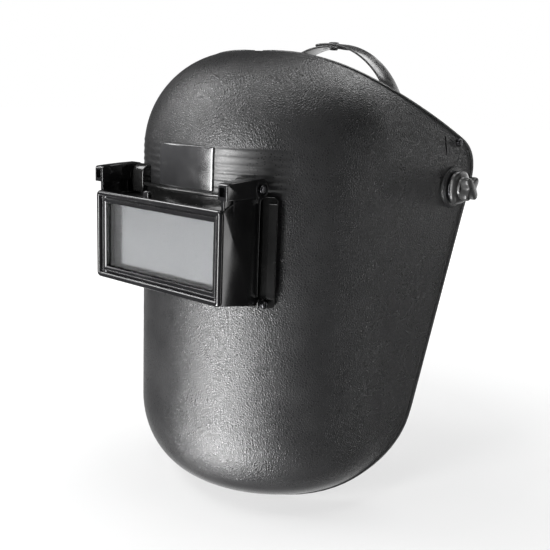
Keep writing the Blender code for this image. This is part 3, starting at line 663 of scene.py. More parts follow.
def metal(name, colour, roughness, brushed=(1, 1, 1)):
    n = Nodes(name, colour, roughness, 1.0)
    n.uneven(700, 4, roughness - 0.08, roughness + 0.12, stretch=brushed)
    n.mottle(180, colour, tuple(c * 0.8 for c in colour))
    n.bump(n.noise(1500, 2, stretch=brushed), 0.15, 0.03)
    return n.material


def rubber():
    n = Nodes("rubber", (0.018, 0.018, 0.018), 0.75)
    n.uneven(400, 4, 0.65, 0.85)
    n.bump(n.noise(1200, 3), 0.3, 0.08)
    return n.material


def clear_sheet():
    """Clear polycarbonate: it lets light through, with a slight haze and wipe marks."""
    n = Nodes("clear_sheet", (0.93, 0.94, 0.94), 0.03)
    n.set("Transmission Weight", 1.0)
    n.set("IOR", 1.45)
    n.uneven(9, 2, 0.02, 0.035)
    return n.material


def coated_filter():
    """A dark filter with a metallised grey face, a little uneven."""
    n = Nodes("coated_filter", (0.33, 0.33, 0.34), 0.3, 0.8)
    n.mottle(14, (0.31, 0.31, 0.32), (0.34, 0.34, 0.35), detail=2)
    n.uneven(30, 2, 0.17, 0.21)
    return n.material


def pad_cloth():
    """A close knit over foam."""
    n = Nodes("pad_cloth", (0.045, 0.045, 0.05), 0.9)
    n.set("Sheen Weight", 0.35)
    n.set("Sheen Roughness", 0.4)
    rows = n.maths("MULTIPLY", n.weave(330, "Z"), n.weave(330, "DIAGONAL"))
    n.bump(rows, 0.6, 0.25)
    n.colour(n.mix(rows, (0.028, 0.028, 0.031), (0.065, 0.065, 0.07)))
    return n.material


LOOK_SHELL = grained_shell()
LOOK_GLOSS = gloss_black()
LOOK_HOUSING = satin_black("housing_black", 0.009, 0.2)
LOOK_HEADGEAR = satin_black("headgear_black", 0.022, 0.3)
LOOK_STRAP = satin_black("strap_black", 0.05, 0.2)
LOOK_KNOB = satin_black("knob_black", 0.035, 0.3)
LOOK_PANEL = panel_plastic()
LOOK_STEEL = metal("zinc_steel", (0.62, 0.62, 0.64), 0.26)
LOOK_DARK_STEEL = metal("blackened_steel", (0.09, 0.09, 0.095), 0.28)
LOOK_BRASS = metal("turned_brass", (0.72, 0.52, 0.26), 0.3)
LOOK_RUBBER = rubber()
LOOK_CLEAR = clear_sheet()
LOOK_FILTER = coated_filter()
LOOK_CLOTH = pad_cloth()


# ---- shell ----


def ear_arc():
    """Centre of the arc that joins the rim to the rear edge, and the heights where it starts and ends."""
    rim_start = RIM_AT[0] - RIM_SLOPE * RIM_AT[1]
    edge_start = EDGE_AT[0] - EDGE_SLOPE * EDGE_AT[1]
    corner_z = (rim_start - edge_start) / (EDGE_SLOPE - RIM_SLOPE)
    corner_y = EDGE_AT[0] + EDGE_SLOPE * (corner_z - EDGE_AT[1])
    rim = Vector((RIM_SLOPE, 1)).normalized()
    edge = Vector((-EDGE_SLOPE, -1)).normalized()
    half = rim.angle(edge) / 2
    reach = EAR_FILLET / tan(half)
    centre = (rim + edge).normalized() * EAR_FILLET / sin(half)
    return corner_y + centre.x, corner_z + centre.y, corner_z + rim.y * reach, corner_z + edge.y * reach


EAR_Y, EAR_Z, EAR_TOP, EAR_BOTTOM = ear_arc()
JAW_Z = CHIN_Z - CHIN_DROP + JAW_FILLET
EDGE_LEAN = atan2(EDGE_SLOPE, 1)
JAW_Y = EDGE_AT[0] + EDGE_SLOPE * (JAW_Z - EDGE_AT[1]) - JAW_FILLET / cos(EDGE_LEAN)
JAW_TOP = JAW_Z - JAW_FILLET * sin(EDGE_LEAN)


def rear_y(z):
    """How far back the shell reaches at height z, along its side outline."""
    if z >= EAR_TOP:
        return RIM_AT[0] + RIM_SLOPE * (z - RIM_AT[1])
    if z >= EAR_BOTTOM:
        return EAR_Y + sqrt(EAR_FILLET**2 - (z - EAR_Z) ** 2)
    if z >= JAW_TOP:
        return EDGE_AT[0] + EDGE_SLOPE * (z - EDGE_AT[1])
    return JAW_Y + sqrt(max(0.0, JAW_FILLET**2 - (z - JAW_Z) ** 2))


def plan_point(radius, along):
    """A point of the U-shaped plan at arc length along, and the outward angle from straight ahead there."""
    side = -1 if along < 0 else 1
    along = abs(along)
    if along <= radius * STRAIGHT:
        angle = along / radius
        return side * radius * sin(angle), FRONT_Y - radius * cos(angle), side * angle
    extra = along - radius * STRAIGHT
    x = radius * sin(STRAIGHT) + extra * sin(FLARE)
    y = FRONT_Y - radius * cos(STRAIGHT) + extra * cos(FLARE)
    return side * x, y, side * STRAIGHT


def plan_length(radius, y):
    """The arc length from the front to where the plan crosses y."""
    end_y = FRONT_Y - radius * cos(STRAIGHT)
    if y <= end_y:
        return radius * acos(max(-1.0, min(1.0, (FRONT_Y - y) / radius)))
    return radius * STRAIGHT + (y - end_y) / cos(FLARE)


def side_x(y):
    """Half width of the upright wall at y."""
    return FRONT_R * sin(STRAIGHT) + (y - FRONT_Y + FRONT_R * cos(STRAIGHT)) * tan(FLARE)


def stations():
    """(height, radius, tilt of the surface, inner height, inner radius) up the shell's profile."""
    made = []

    def chin(angle):
        z, inner_z = (CHIN_Z - drop * sin(angle) for drop in (CHIN_DROP, CHIN_DROP - WALL))
        out, inner_out = (FRONT_R - CHIN_TUCK + reach * cos(angle) for reach in (CHIN_TUCK, CHIN_TUCK - WALL))
        made.append((z, out, -angle, inner_z, inner_out))

    def dome(angle):
        z, inner_z = (DOME_Z + rise * sin(angle) for rise in (DOME_R, DOME_R - WALL))
        out, inner_out = (FRONT_R - DOME_R + reach * cos(angle) for reach in (DOME_R, DOME_R - WALL))
        made.append((z, out, angle, inner_z, inner_out))

    for i in range(18):
        chin(CHIN_END * (1 - i / 18))
    plain = [lerp(CHIN_Z, -2.0, i / 26) for i in range(27)]
    ribbed = [-1.5 + 0.48 * i for i in range(46)]
    for z in plain + [z for z in ribbed if z < DOME_Z]:
        made.append((z, FRONT_R, 0.0, z, FRONT_R - WALL))
    rib_end = asin((RIB_TOP + RIB_STEP - DOME_Z) / DOME_R)
    for i in range(16):
        dome(rib_end * i / 16)
    for i in range(40):
        dome(lerp(rib_end, pi / 2, i / 39))
    return made


def rib_height(z, angle):
    """How far the forehead ribs stand out at this height and plan angle."""
    inside = smooth((z - RIB_LOW + 0.6) / 0.8) * smooth((RIB_TOP + RIB_STEP / 2 - z) / 0.6)
    starting = smooth((abs(angle) - RIB_START) / radians(0.5))
    fading = 1 - smooth((abs(angle) - RIB_FADE) / radians(3))
    wave = 0.5 + 0.5 * cos(2 * pi * (z - RIB_TOP) / RIB_STEP)
    return RIB_OUT * inside * starting * fading * wave**1.5


def pushed_out(x, y, z, angle, tilt, lift):
    """A point moved along the surface's normal, given by its plan angle and its tilt."""
    return x + lift * sin(angle) * cos(tilt), y - lift * cos(angle) * cos(tilt), z + lift * sin(tilt)


def shell_shape():
    edge_marks = (0.0, 0.35, 0.8, 1.4, 2.0, 2.6, 3.1, 3.7)
    count = 132
    outer, inner = [], []
    for z, radius, tilt, inner_z, inner_radius in stations():
        back = rear_y(z)
        reach, inner_reach = plan_length(radius, back), plan_length(inner_radius, back)
        zone = min(BEAD_ZONE, reach * 0.4)
        scale = zone / BEAD_ZONE
        marks = [(-1, -1, mark * scale) for mark in edge_marks]
        marks += [(0, 2 * j / count - 1, zone) for j in range(count + 1)]
        marks += [(1, 1, mark * scale) for mark in reversed(edge_marks)]
        outer_row, inner_row = [], []
        for end, fraction, mark in marks:
            along = end * (reach - mark) if end else fraction * (reach - zone)
            inner_along = end * (inner_reach - mark) if end else fraction * max(0.0, inner_reach - zone)
            x, y, angle = plan_point(radius, along)
            gap = reach - abs(along)
            bead = BEAD_OUT * scale * (1 - smooth((gap - BEAD_WIDTH) / 1.0))
            lift = rib_height(z, angle) + bead
            outer_row.append(pushed_out(x, y, z, angle, tilt, lift))
            x, y, angle = plan_point(inner_radius, inner_along)
            inner_row.append(pushed_out(x, y, inner_z, angle, tilt, -bead * 0.5))
        outer.append(outer_row)
        inner.append(inner_row)
    return thick_sheet(outer, inner, 0.9)


def ear_boss(side):
    profile = [(111, 0), (111, 15.4), (115.4, 15.9), (116.0, 15.1)]
    profile += [(BOSS_X - 0.5, BOSS_R), (BOSS_X, BOSS_R - 0.5), (BOSS_X, 0)]
    return lathe(profile, 0.5, (0, 0, 0), (side, 0, 0), 64)


def make_shell():
    body = mesh_of("helmet_shell", shell_shape(), 50)
    cutters = [soft_prism(rounded(104, 48, 3, 0, WINDOW_Z), "Y", -190, -130, 0.1, 1)]
    for side, _ in SIDES:
        wall = side_x(-12)
        slot = rounded(1.7, 14.5, 0.8, -12.0, 31.0, 3)
        cutters.append(side_prism(side, slot, wall - 12, wall + 12, 0.1, 1))
    carve(body, *cutters, sharp=50)
    absorb(body, [mesh_of("bosses", join(ear_boss(1), ear_boss(-1)))], sharp=50)
    dress(body, LOOK_SHELL, "shell", "shell_black", "shell")


def on_cylinder(arc_radius=SADDLE_R):
    """Wraps (arc length, height, radius) round the shell's front. The length is measured at arc_radius."""

    def place(a, b, depth):
        angle = a / arc_radius
        return depth * sin(angle), FRONT_Y - depth * cos(angle), b

    return place


def make_panel():
    """A plain smooth plate that follows the forehead in both directions."""
    place = on_cylinder(FRONT_R)
    grids = []
    for out in (PANEL_OUT, 0.3):
        grid = []
        for i in range(33):
            z = lerp(PANEL_LOW, PANEL_HIGH, i / 32)
            over = max(0.0, z - DOME_Z)
            depth = FRONT_R + out - (DOME_R - sqrt(DOME_R**2 - over**2))
            grid.append([place(lerp(-1, 1, j / 40) * PANEL_HALF * FRONT_R, z, depth) for j in range(41)])
        grids.append(grid)
    shape = thick_sheet(*grids, 0.3)
    piece("forehead_panel_plain", shape, LOOK_PANEL, "shell", "gloss_black", "forehead_panel")


# ---- window housing ----


def saddle():
    half = SADDLE_HALF * SADDLE_R
    height = SADDLE_HIGH - SADDLE_LOW
    centre = (SADDLE_HIGH + SADDLE_LOW) / 2
    outer = rounded(2 * half, height, 3, 0, centre, 5, 24)
    hole = rounded(106, 47, 2, 0, WINDOW_Z, 5, 24)
    return soft_frame(outer, hole, FRONT_R + 0.4, SADDLE_R, 0.6, 3, 6, on_cylinder())


def arc_bar(r0, r1, a0, a1, z0, z1, edge=0.6, count=24):
    """A bar that runs round the shell's front between two angles."""
    loops = []
    section = rounded_section(r0, r1, z0, z1, edge, 3)
    for i in range(count + 1):
        angle = lerp(a0, a1, i / count)
        loops.append([(r * sin(angle), FRONT_Y - r * cos(angle), z) for r, z in section])
    return loft(loops)


def tunnel():
    """The light tunnel in front of the saddle. Its rear end follows the shell."""
    outer = rounded(111, 56, 2, 0, WINDOW_Z, 4, 12)
    inner = rounded(102, 47, 2, 0, WINDOW_Z, 4, 12)
    edge = 0.6

    def back(a):
        return FRONT_Y - sqrt((FRONT_R + HOUSING_GAP) ** 2 - a * a)

    loops = [[(a, TUNNEL_Y, b) for a, b in inset(inner, -edge)]]
    for i in range(3, -1, -1):
        angle = pi / 2 * i / 3
        y = TUNNEL_Y + edge * (1 - sin(angle))
        loops.append([(a, y, b) for a, b in inset(outer, edge * (1 - cos(angle)))])
    loops.append([(a, back(a), b) for a, b in outer])
    loops.append([(a, back(a), b) for a, b in inner])
    loops.append([(a, TUNNEL_Y + edge, b) for a, b in inner])
    return loft(loops, closed=True)


def hinge_lug(side):
    radius = 6.5
    foot = -9.2
    outline = [(FLIP_Y - radius, foot)]
    for i in range(17):
        angle = pi - pi * i / 16
        outline.append((FLIP_Y + radius * cos(angle), FLIP_Z + radius * sin(angle)))
    outline.append((FLIP_Y + radius + 5, foot))
    return side_prism(side, outline, LUG_IN, 56.0, 0.9)


def make_housing():
    root = FRONT_R + HOUSING_GAP
    lip_low, lip_high = SADDLE_HIGH - 2.5, SADDLE_HIGH - 0.1
    lip = arc_bar(root, SADDLE_R + 3.2, -LIP_HALF, LIP_HALF, lip_low, lip_high, 0.9, 40)
    parts = [saddle(), tunnel(), lip]
    for side, _ in SIDES:
        start, end = side * STRIP_START, side * STRIP_END
        parts.append(arc_bar(root, SADDLE_R + 2.8, start, end, STRIP_LOW, STRIP_HIGH, 1.0, 6))
        parts.append(hinge_lug(side))
        corner = rounded(14.2, 5.8, 1.6, -152.1, -74.5, 4)
        parts.append(side_prism(side, corner, 57, 62, 0.6))
    piece("window_saddle", join(*parts), LOOK_HOUSING, "shell", "gloss_black", "window_housing")


def make_small_parts():
    """Hinge pins, latch studs and stop pins, each turned with eased edges."""
    pin = [(48.2, 0), (48.2, 1.9), (48.7, 2.4), (50.1, 2.4), (50.1, 1.95), (ARM_OUT + 0.2, 1.95)]
    pin += [(ARM_OUT + 0.2, 2.9), (ARM_OUT + 0.9, 2.8), (ARM_OUT + 1.5, 2.2), (ARM_OUT + 1.7, 0)]
    stud = [(58.8, 0), (58.8, 1.2), (62.4, 1.2), (62.4, 2.6), (66.2, 2.6)]
    stud += [(66.6, 2.2), (66.6, 1.3), (65.4, 1.0), (65.4, 0)]
    stop = [(STOP_IN, 0), (STOP_IN, 1.8), (114.2, 1.8), (114.2, 3.0)]
    stop += [(115.6, 3.0), (116.5, 2.2), (116.5, 0)]
    rows = (
        ("hinge_pin", pin, 0.3, FLIP_Y, FLIP_Z),
        ("latch_stud", stud, 0.25, STUD_Y, STUD_Z),
        ("stop_pin", stop, 0.3, STOP_Y, STOP_Z),
    )
    for side, label in SIDES:
        for name, profile, edge, y, z in rows:
            shape = lathe(profile, edge, (0, y, z), (side, 0, 0))
            piece(f"{name}_{label}_turned", shape, LOOK_DARK_STEEL, "shell", "steel", f"{name}_{label}")


# ---- flip-up holder ----

def bezel():
    """The front frame: a rounded bead, a groove, an inner lip and a deep inner wall."""
    outline = rounded(BEZEL_W, BEZEL_H, 3.5, 0, WINDOW_Z, 8)
    bead = 2.0
    ridge = 0.55
    section = [(0.3, -193.7), (0.0, -194.1), (0.0, BEZEL_Y + bead)]
    for i in range(1, 12):
        angle = pi * i / 12
        section.append((bead - bead * cos(angle), BEZEL_Y + bead - bead * sin(angle)))
    section += [(2 * bead + 0.1, BEZEL_Y + 2.6), (2 * bead + 0.9, BEZEL_Y + 2.6)]
    for i in range(7):
        angle = pi * i / 6
        section.append((2 * bead + 1.5 - ridge * cos(angle), BEZEL_Y + 2.2 - ridge * sin(angle)))
    wide = (BEZEL_W - OPEN_W) / 2
    pocket_out = (BEZEL_W - GLASS_W - 5) / 2
    pocket_in = (BEZEL_W - GLASS_W - 0.9) / 2
    section += [(wide - 0.5, BEZEL_Y + 2.5), (wide, BEZEL_Y + 2.9), (wide, -193.75), (wide - 0.3, -193.5)]
    section += [(pocket_in, -193.5), (pocket_in, POCKET_END - 0.2), (pocket_in - 0.3, POCKET_END)]
    section += [(pocket_out + 0.3, POCKET_END), (pocket_out, POCKET_END - 0.3), (pocket_out, -193.4)]
    return sweep(outline, section, "Y")


def arm_outline():
    """Side outline of an arm as (y, z) points: low at the front end, round at the hinge."""
    radius = 7.0
    points = [(-195.2, -1.4), (-195.2, 8.0), (-194.7, 8.9), (-193.8, 9.4)]
    points += [(-187, 9.9), (-180, 10.3), (-172, 10.7)]
    for i in range(21):
        angle = radians(100 - 200 * i / 20)
        points.append((FLIP_Y + radius * cos(angle), FLIP_Z + radius * sin(angle)))
    points += [(-166, -1.4), (-180, -1.4)]
    return points


def side_wall(side):
    top = FLIP_Z - 5.5
    slope = (HOLDER_LOW.z - BEZEL_LOW) / (REAR_EDGE_Y - BEZEL_BACK)
    foot = BEZEL_LOW + slope * (REAR_EDGE_Y - 0.6 - BEZEL_BACK)
    wall = [(BEZEL_BACK, BEZEL_LOW + 0.4), (REAR_EDGE_Y - 0.6, foot), (REAR_EDGE_Y, foot + 0.8)]
    wall += [(REAR_EDGE_Y, top), (-176, top), (-184.2, top - 2.6)]
    wall += [(-192.4, top - 6.4), (BEZEL_BACK, top - 7.4)]
    return side_prism(side, wall, SIDE_IN, SIDE_OUT, 0.45)


def rear_bead(side):
    """The rounded bead along the side wall's rear edge."""
    section = rounded_section(SIDE_OUT - 1.6, SIDE_OUT + 0.5, REAR_EDGE_Y - 1.5, REAR_EDGE_Y + 0.2, 0.7, 4)
    loops = [[(side * u, v, z) for u, v in section] for z in (-69.5, FLIP_Z - 5)]
    return loft(loops)


def holder_webs(side):
    """The recessed web between the arm and the side wall, with an upright rib at either end of the recess."""
    webs = []
    for y0, y1, near, far, edge in (
        (-193.6, -192.2, SIDE_IN + 0.1, SIDE_OUT + 0.2, 0.35),
        (-184.6, -183.2, SIDE_IN + 0.1, SIDE_OUT + 0.2, 0.35),
        (-193.4, REAR_EDGE_Y, SIDE_IN + 0.2, SIDE_OUT - 1.1, 0.3),
    ):
        outline = [(y0, WEB_LOW), (y1, WEB_LOW), (y1, 0), (y0, 0)]
        webs.append(side_prism(side, outline, near, far, edge))
    return webs


def holder_floor():
    rear_r = SADDLE_R + 1.4
    count = 24
    slope = -FLOOR_DROP / (REAR_EDGE_Y - BEZEL_BACK)
    half = 59.2
    outline = [(-half, -194.2), (half, -194.2)]
    for i in range(count + 1):
        x = half - 2 * half * i / count
        outline.append((x, FRONT_Y - sqrt(rear_r**2 - x * x)))

    def lean(x, y, z):
        return x, y, z + slope * (y - BEZEL_BACK)

    return soft_prism(outline, "Z", BEZEL_LOW + 0.2, BEZEL_LOW + 2.2, 0.4, 2, lean)


def make_holder():
    parts = [bezel(), holder_floor()]
    nub = rounded(6.4, 7.0, 2.6, NUB_X, -6.6, 6)
    parts.append(soft_prism(nub, "Y", -194.6, -191.2, 1.2, 4))
    for side, _ in SIDES:
        parts += [side_wall(side), rear_bead(side), *holder_webs(side)]
        ring = [(ARM_OUT - 0.6, 6.4), (ARM_OUT + 0.05, 6.2), (ARM_OUT + 0.05, 4.6), (ARM_OUT - 0.6, 4.4)]
        parts.append(lathe(ring + ring[:1], 0.2, (0, FLIP_Y, FLIP_Z), (side, 0, 0), 48))
        clip = rounded(1.0, 12, 0.4, POCKET_END + 0.3, WINDOW_Z, 2)
        parts.append(side_prism(side, clip, 52.5, 55.8, 0.2, 2))
        link = rounded(6.2, 52, 0.6, -191.1, WINDOW_Z, 2)
        parts.append(side_prism(side, link, 56.6, SIDE_IN + 1, 0.2, 2))
    holder = mesh_of("lens_holder", join(*parts))
    arms = []
    for side, _ in SIDES:
        arm = mesh_of("arm", side_prism(side, arm_outline(), ARM_IN, ARM_OUT, 0.8, 4))
        pocket = rounded(5.2, 6.0, 0.6, side * (ARM_IN + ARM_OUT) / 2, 4.0, 3)
        profile = [(ARM_OUT - 0.7, 0), (ARM_OUT - 0.7, 4.2), (ARM_OUT + 3, 4.6), (ARM_OUT + 3, 0)]
        bowl = turned(profile, (0, FLIP_Y, FLIP_Z), (side, 0, 0))
        carve(arm, soft_prism(pocket, "Y", -200, -191.3, 0.2, 2), bowl)
        arms.append(arm)
    absorb(holder, arms)
    dress(holder, LOOK_GLOSS, "lens_flip", "gloss_black", "flip_holder")


# ---- ear pivots ----


def knob(side):
    """A softly lobed flange with a waisted grip that ends in four lobes."""
    base, grip = [], []
    count, lobes = 96, 4
    angles = [2 * pi * i / count for i in range(count)]
    flange = [(118.7, 12.6), (119.0, 13.0), (120.6, 13.0), (121.6, 12.4)]
    flange += [(122.4, 10.6), (123.0, 8.4), (124.4, 8.0)]
    for x, radius in flange:
        ring = []
        for angle in angles:
            reach = radius + 0.7 * cos(lobes * (angle - pi / 4)) * smooth((radius - 8) / 3)
            ring.append((side * x, reach * cos(angle), reach * sin(angle)))
        base.append(ring)
    levels = [(122.6, 0.72, 0.2), (124.0, 0.8, 0.7), (125.2, 0.9, 1.0), (126.6, 0.97, 1.0), (128.5, 1.0, 1.0)]
    levels += [(130.3, 1.0, 1.0), (131.0, 0.98, 1.0), (KNOB_OUT - 0.1, 0.945, 1.0), (KNOB_OUT, 0.9, 1.0)]
    for x, size, depth in levels:
        ring = []
        for angle in angles:
            wave = cos(lobes * (angle - pi / 4))
            reach = size * (8.4 + 2.4 * depth * (abs(wave) ** 0.8) * (1 if wave > 0 else -1))
            ring.append((side * x, reach * cos(angle), reach * sin(angle)))
        grip.append(ring)
    cap = [(KNOB_OUT - 0.7, 0), (KNOB_OUT - 0.7, 4.4), (KNOB_OUT - 0.25, 4.9), (KNOB_OUT - 0.02, 4.6)]
    cap += [(KNOB_OUT - 0.2, 3.8), (KNOB_OUT - 0.6, 0)]
    return join(loft(base), loft(grip), turned(cap, (0, 0, 0), (side, 0, 0)))


def make_ears():
    bolt = [(101.2, 0), (101.2, 5.3), (102.4, 7.4), (104.6, 7.4)]
    bolt += [(104.6, 3.0), (126.6, 3.0), (127.2, 2.4), (127.2, 0)]
    washers = (
        ("knob_washer", 117.35, 118.35, 12.2, LOOK_DARK_STEEL, "steel"),
        ("pivot_washer", 108.0, 109.8, 10.5, LOOK_RUBBER, "rubber"),
    )
    hole = 3.5
    for side, label in SIDES:
        centre, out = (0, 0, 0), (side, 0, 0)
        grip = knob(side)
        piece(f"grip_knob_{label}", grip, LOOK_KNOB, f"knob_{label}", "gloss_black", f"tension_knob_{label}")
        shape = lathe(bolt, 0.4, centre, out)
        piece(f"pivot_bolt_{label}", shape, LOOK_STEEL, "headgear", "steel", f"ear_bolt_{label}")
        for name, x0, x1, radius, look, slot in washers:
            section = [(x0, hole), (x0, radius), (x1, radius), (x1, hole), (x0, hole)]
            shape = lathe(section, 0.25, centre, out, 48)
            piece(f"{name}_{label}_eased", shape, look, "headgear", slot, f"{name}_{label}")


# ---- headgear ----


def band_x(y, offset=0.0):
    """Half width of the headband's outer face at y, moved outwards by offset."""
    return (HEAD_A + offset) * sqrt(max(0.0, 1 - ((y - HEAD_Y) / (HEAD_B + offset)) ** 2))


def band_point(angle, offset):
    """A point of the head's outline, by angle from straight ahead."""
    return (HEAD_A + offset) * sin(angle), HEAD_Y - (HEAD_B + offset) * cos(angle)


def band_normal(y, side):
    return Vector((side * band_x(y) / HEAD_A**2, (y - HEAD_Y) / HEAD_B**2, 0)).normalized()


def band(angle_0, angle_1, outer, inner, heights, count, edge=0.5, crown=0.0):
    """A strip round the head with rounded edges. heights(t) gives its low and high edge at fraction t."""
    loops = []
    for j in range(count + 1):
        t = j / count
        angle = lerp(angle_0, angle_1, t)
        low, high = heights(t)
        loop = []
        for offset, z in rounded_section(inner, outer, low, high, edge, 3):
            swell = crown * (1 - (2 * (z - low) / (high - low) - 1) ** 2)
            x, y = band_point(angle, offset - swell)
            loop.append((x, y, z))
        loops.append(loop)
    return loft(loops)


def level(low, high):
    """Heights for a band whose edges are level."""
    return lambda t: (low, high)


def end_round(steps_left, steps, least):
    """How much of its width a strip keeps near its end, so that the end is round."""
    if steps_left >= steps:
        return 1.0
    return min(1.0, least + (1 - least) * sqrt(max(0.0, 1 - (1 - steps_left / steps) ** 2)))


def rivet(y, side, inner, outer):
    profile = [(inner - 1.1, 0), (inner - 1.0, 1.6), (inner - 0.6, 3.0), (inner, 3.5), (inner, 1.6)]
    profile += [(outer, 1.6), (outer, 3.5), (outer + 0.6, 3.0), (outer + 1.0, 1.6), (outer + 1.1, 0)]
    return lathe(profile, 0.3, (side * band_x(y), y, RIVET_Z), band_normal(y, side), 28)


def headband():
    body = band(-BAND_END, BAND_END, 0, -BAND_T, level(BAND_LOW, BAND_HIGH), 120, 0.6)
    ribs = []
    reach = BAND_END * 0.99
    for low in (BAND_LOW + 0.2, BAND_HIGH - 2.4):
        ribs.append(band(-reach, reach, 0.3, -0.6, level(low, low + 2.2), 120, 0.4))
    return join(body, *ribs)


def side_arm(side):
    """A strip that leaves the headband, bows out to the ear pivot and comes back."""
    loops = []
    count = 60
    for j in range(count + 1):
        y = lerp(-58, 59, j / count)
        bow = 1 - smooth((abs(y) - 15) / 27)
        x = lerp(band_x(y, 0.5), ARM_X, bow)
        end = end_round(min(j, count - j), 4, 0.35)
        low, high = lerp(11, -12, bow), lerp(30, 18, bow)
        centre = (low + high) / 2
        low, high = lerp(centre, low, end), lerp(centre, high, end)
        section = rounded_section(x, x + ARM_T, low, high, 0.7, 3)
        loops.append([(side * u, y, z) for u, z in section])
    return loft(loops)


def crown_at(angle, offset):
    """(half width, height) of the crown strap's arch at this angle from the top."""
    wide = (CROWN_A + offset) * sin(angle) * (1 - CROWN_NARROW * smooth(cos(angle) / 0.45))
    return Vector((wide, CROWN_LOW + (CROWN_TOP - CROWN_LOW + offset) * cos(angle)))


def crown_strap(side, lift):
    """Half of the strap over the head, from inside the headband to past the middle."""
    loops = []
    count = 56
    overlap = -16.0
    for j in range(-6, count + 1):
        offset = lift * smooth(j / count * 2.2)
        angle = lerp(pi / 2, overlap / CROWN_A, max(0, j) / count)
        centre = crown_at(angle, offset)
        run = crown_at(angle - 0.01, offset) - crown_at(angle + 0.01, offset)
        normal = Vector((run.y, -run.x)).normalized()
        if j < 0:
            centre.y += j * (CROWN_LOW - 11) / 6
            normal = Vector((1, 0))
        half = CROWN_WIDTH / 2 * end_round(count - j, 3, 0.4)
        loop = []
        for depth, y in rounded_section(-STRAP_T, 0, CROWN_Y - half, CROWN_Y + half, 0.5, 3):
            point = centre + normal * depth
            loop.append((side * point.x, y, point.y))
        loops.append(loop)
    return loft(loops)


def make_headgear():
    piece("head_band", headband(), LOOK_HEADGEAR, "headgear", "headgear_black", "headband")
    for side, label in SIDES:
        arm = side_arm(side)
        piece(f"pivot_arm_{label}", arm, LOOK_HEADGEAR, "headgear", "headgear_black", f"side_arm_{label}")
        lift = 0.0 if side > 0 else -STRAP_T - 0.4
        strap = mesh_of(f"top_strap_{label}", crown_strap(side, lift))
        drill = [(90, 0), (90, 2.3), (110, 2.3), (110, 0)]
        carve(strap, *[turned(drill, (x, CROWN_Y, 0), (0, 0, 1), 24) for x in (-8, 0, 8)])
        dress(strap, LOOK_STRAP, "headgear", "headgear_black", f"crown_strap_{label}")
        spots = (
            ("arm_rivet_front", ARM_RIVET_Y[0], -BAND_T - 0.4, ARM_T + 0.9),
            ("arm_rivet_rear", ARM_RIVET_Y[1], -STRAP_T - 2.7, ARM_T + 0.9),
            ("crown_rivet", CROWN_Y, -STRAP_T - 4.4, 0.4),
        )
        for name, y, inner, outer in spots:
            shape = rivet(y, side, inner, outer)
            piece(f"{name}_{label}_domed", shape, LOOK_STEEL, "headgear", "steel", f"{name}_{label}")
    top = CROWN_TOP
    stud = [(top - 5.4, 0), (top - 5.4, 2.6), (top - 4.5, 3.6), (top - 3.9, 3.6), (top - 3.9, 1.95)]
    stud += [(top + 0.2, 1.95), (top + 0.2, 4.2), (top + 0.8, 4.0), (top + 1.1, 2.6), (top + 1.1, 0)]
    shape = lathe(stud, 0.4, (0, CROWN_Y, 0), (0, 0, 1), 40)
    piece("crown_button", shape, LOOK_HEADGEAR, "headgear", "headgear_black", "crown_stud")


def make_pads():
    reach = radians(46)

    def brow(t):
        end = smooth(min(t, 1 - t) / 0.06)
        return lerp(14, 6.5, end), lerp(27, 34.5, end)

    shape = band(-reach, reach, -BAND_T - 0.5, -BAND_T - 4.6, brow, 72, 2.0, 1.8)
    pad = piece("brow_pad", shape, LOOK_CLOTH, "headgear", "pad_cloth", "sweatband")
    reach = radians(22)

    def nape(t):
        end = smooth(min(t, 1 - t) / 0.12)
        return lerp(12, 4.2, end), lerp(29, 36.8, end)

    shape = band(pi - reach, pi + reach, STRAP_OFFSET - 4.8, STRAP_OFFSET - 9.2, nape, 40, 2.2, 2.2)
    pad = piece("nape_cushion", shape, LOOK_CLOTH, "ratchet", "pad_cloth", "nape_pad")


# ---- ratchet ----


def rear_strap(side, upper):
    start, end = radians(113), radians(196)

    def heights(t):
        narrow = smooth((lerp(start, end, t) - radians(140)) / radians(14))
        rack_low, rack_high = BAND_LOW, PINION_Z - PINION_R - 1.0
        if upper:
            rack_low, rack_high = PINION_Z + PINION_R + 1.0, BAND_HIGH
        return lerp(BAND_LOW + 1, rack_low, narrow), lerp(BAND_HIGH - 1, rack_high, narrow)

    body = band(side * start, side * end, STRAP_OUT, STRAP_OUT - STRAP_T, heights, 70, 0.4)
    pitch = 2 * pi * PINION_R / PINION_TEETH
    teeth = []
    for i in range(-4, 5):
        x = i * pitch
        y = HEAD_Y + (HEAD_B + STRAP_OFFSET) * sqrt(1 - (x / (HEAD_A + STRAP_OUT)) ** 2)
        way = 1 if upper else -1
        root, tip = PINION_Z + way * (PINION_R + 1.6), PINION_Z + way * (PINION_R - 0.5)
        tooth = [(x - 0.95, root), (x + 0.95, root), (x + 0.4, tip), (x - 0.4, tip)]
        teeth.append(soft_prism(tooth, "Y", y - 0.6, y + 0.6, 0.15, 2))
    return join(body, *teeth)


def fluted(radius, depth, flutes, count=216):
    points = []
    for i in range(count):
        angle = 2 * pi * i / count
        r = radius + depth * cos(flutes * angle)
        points.append((r * cos(angle), PINION_Z + r * sin(angle)))
    return points


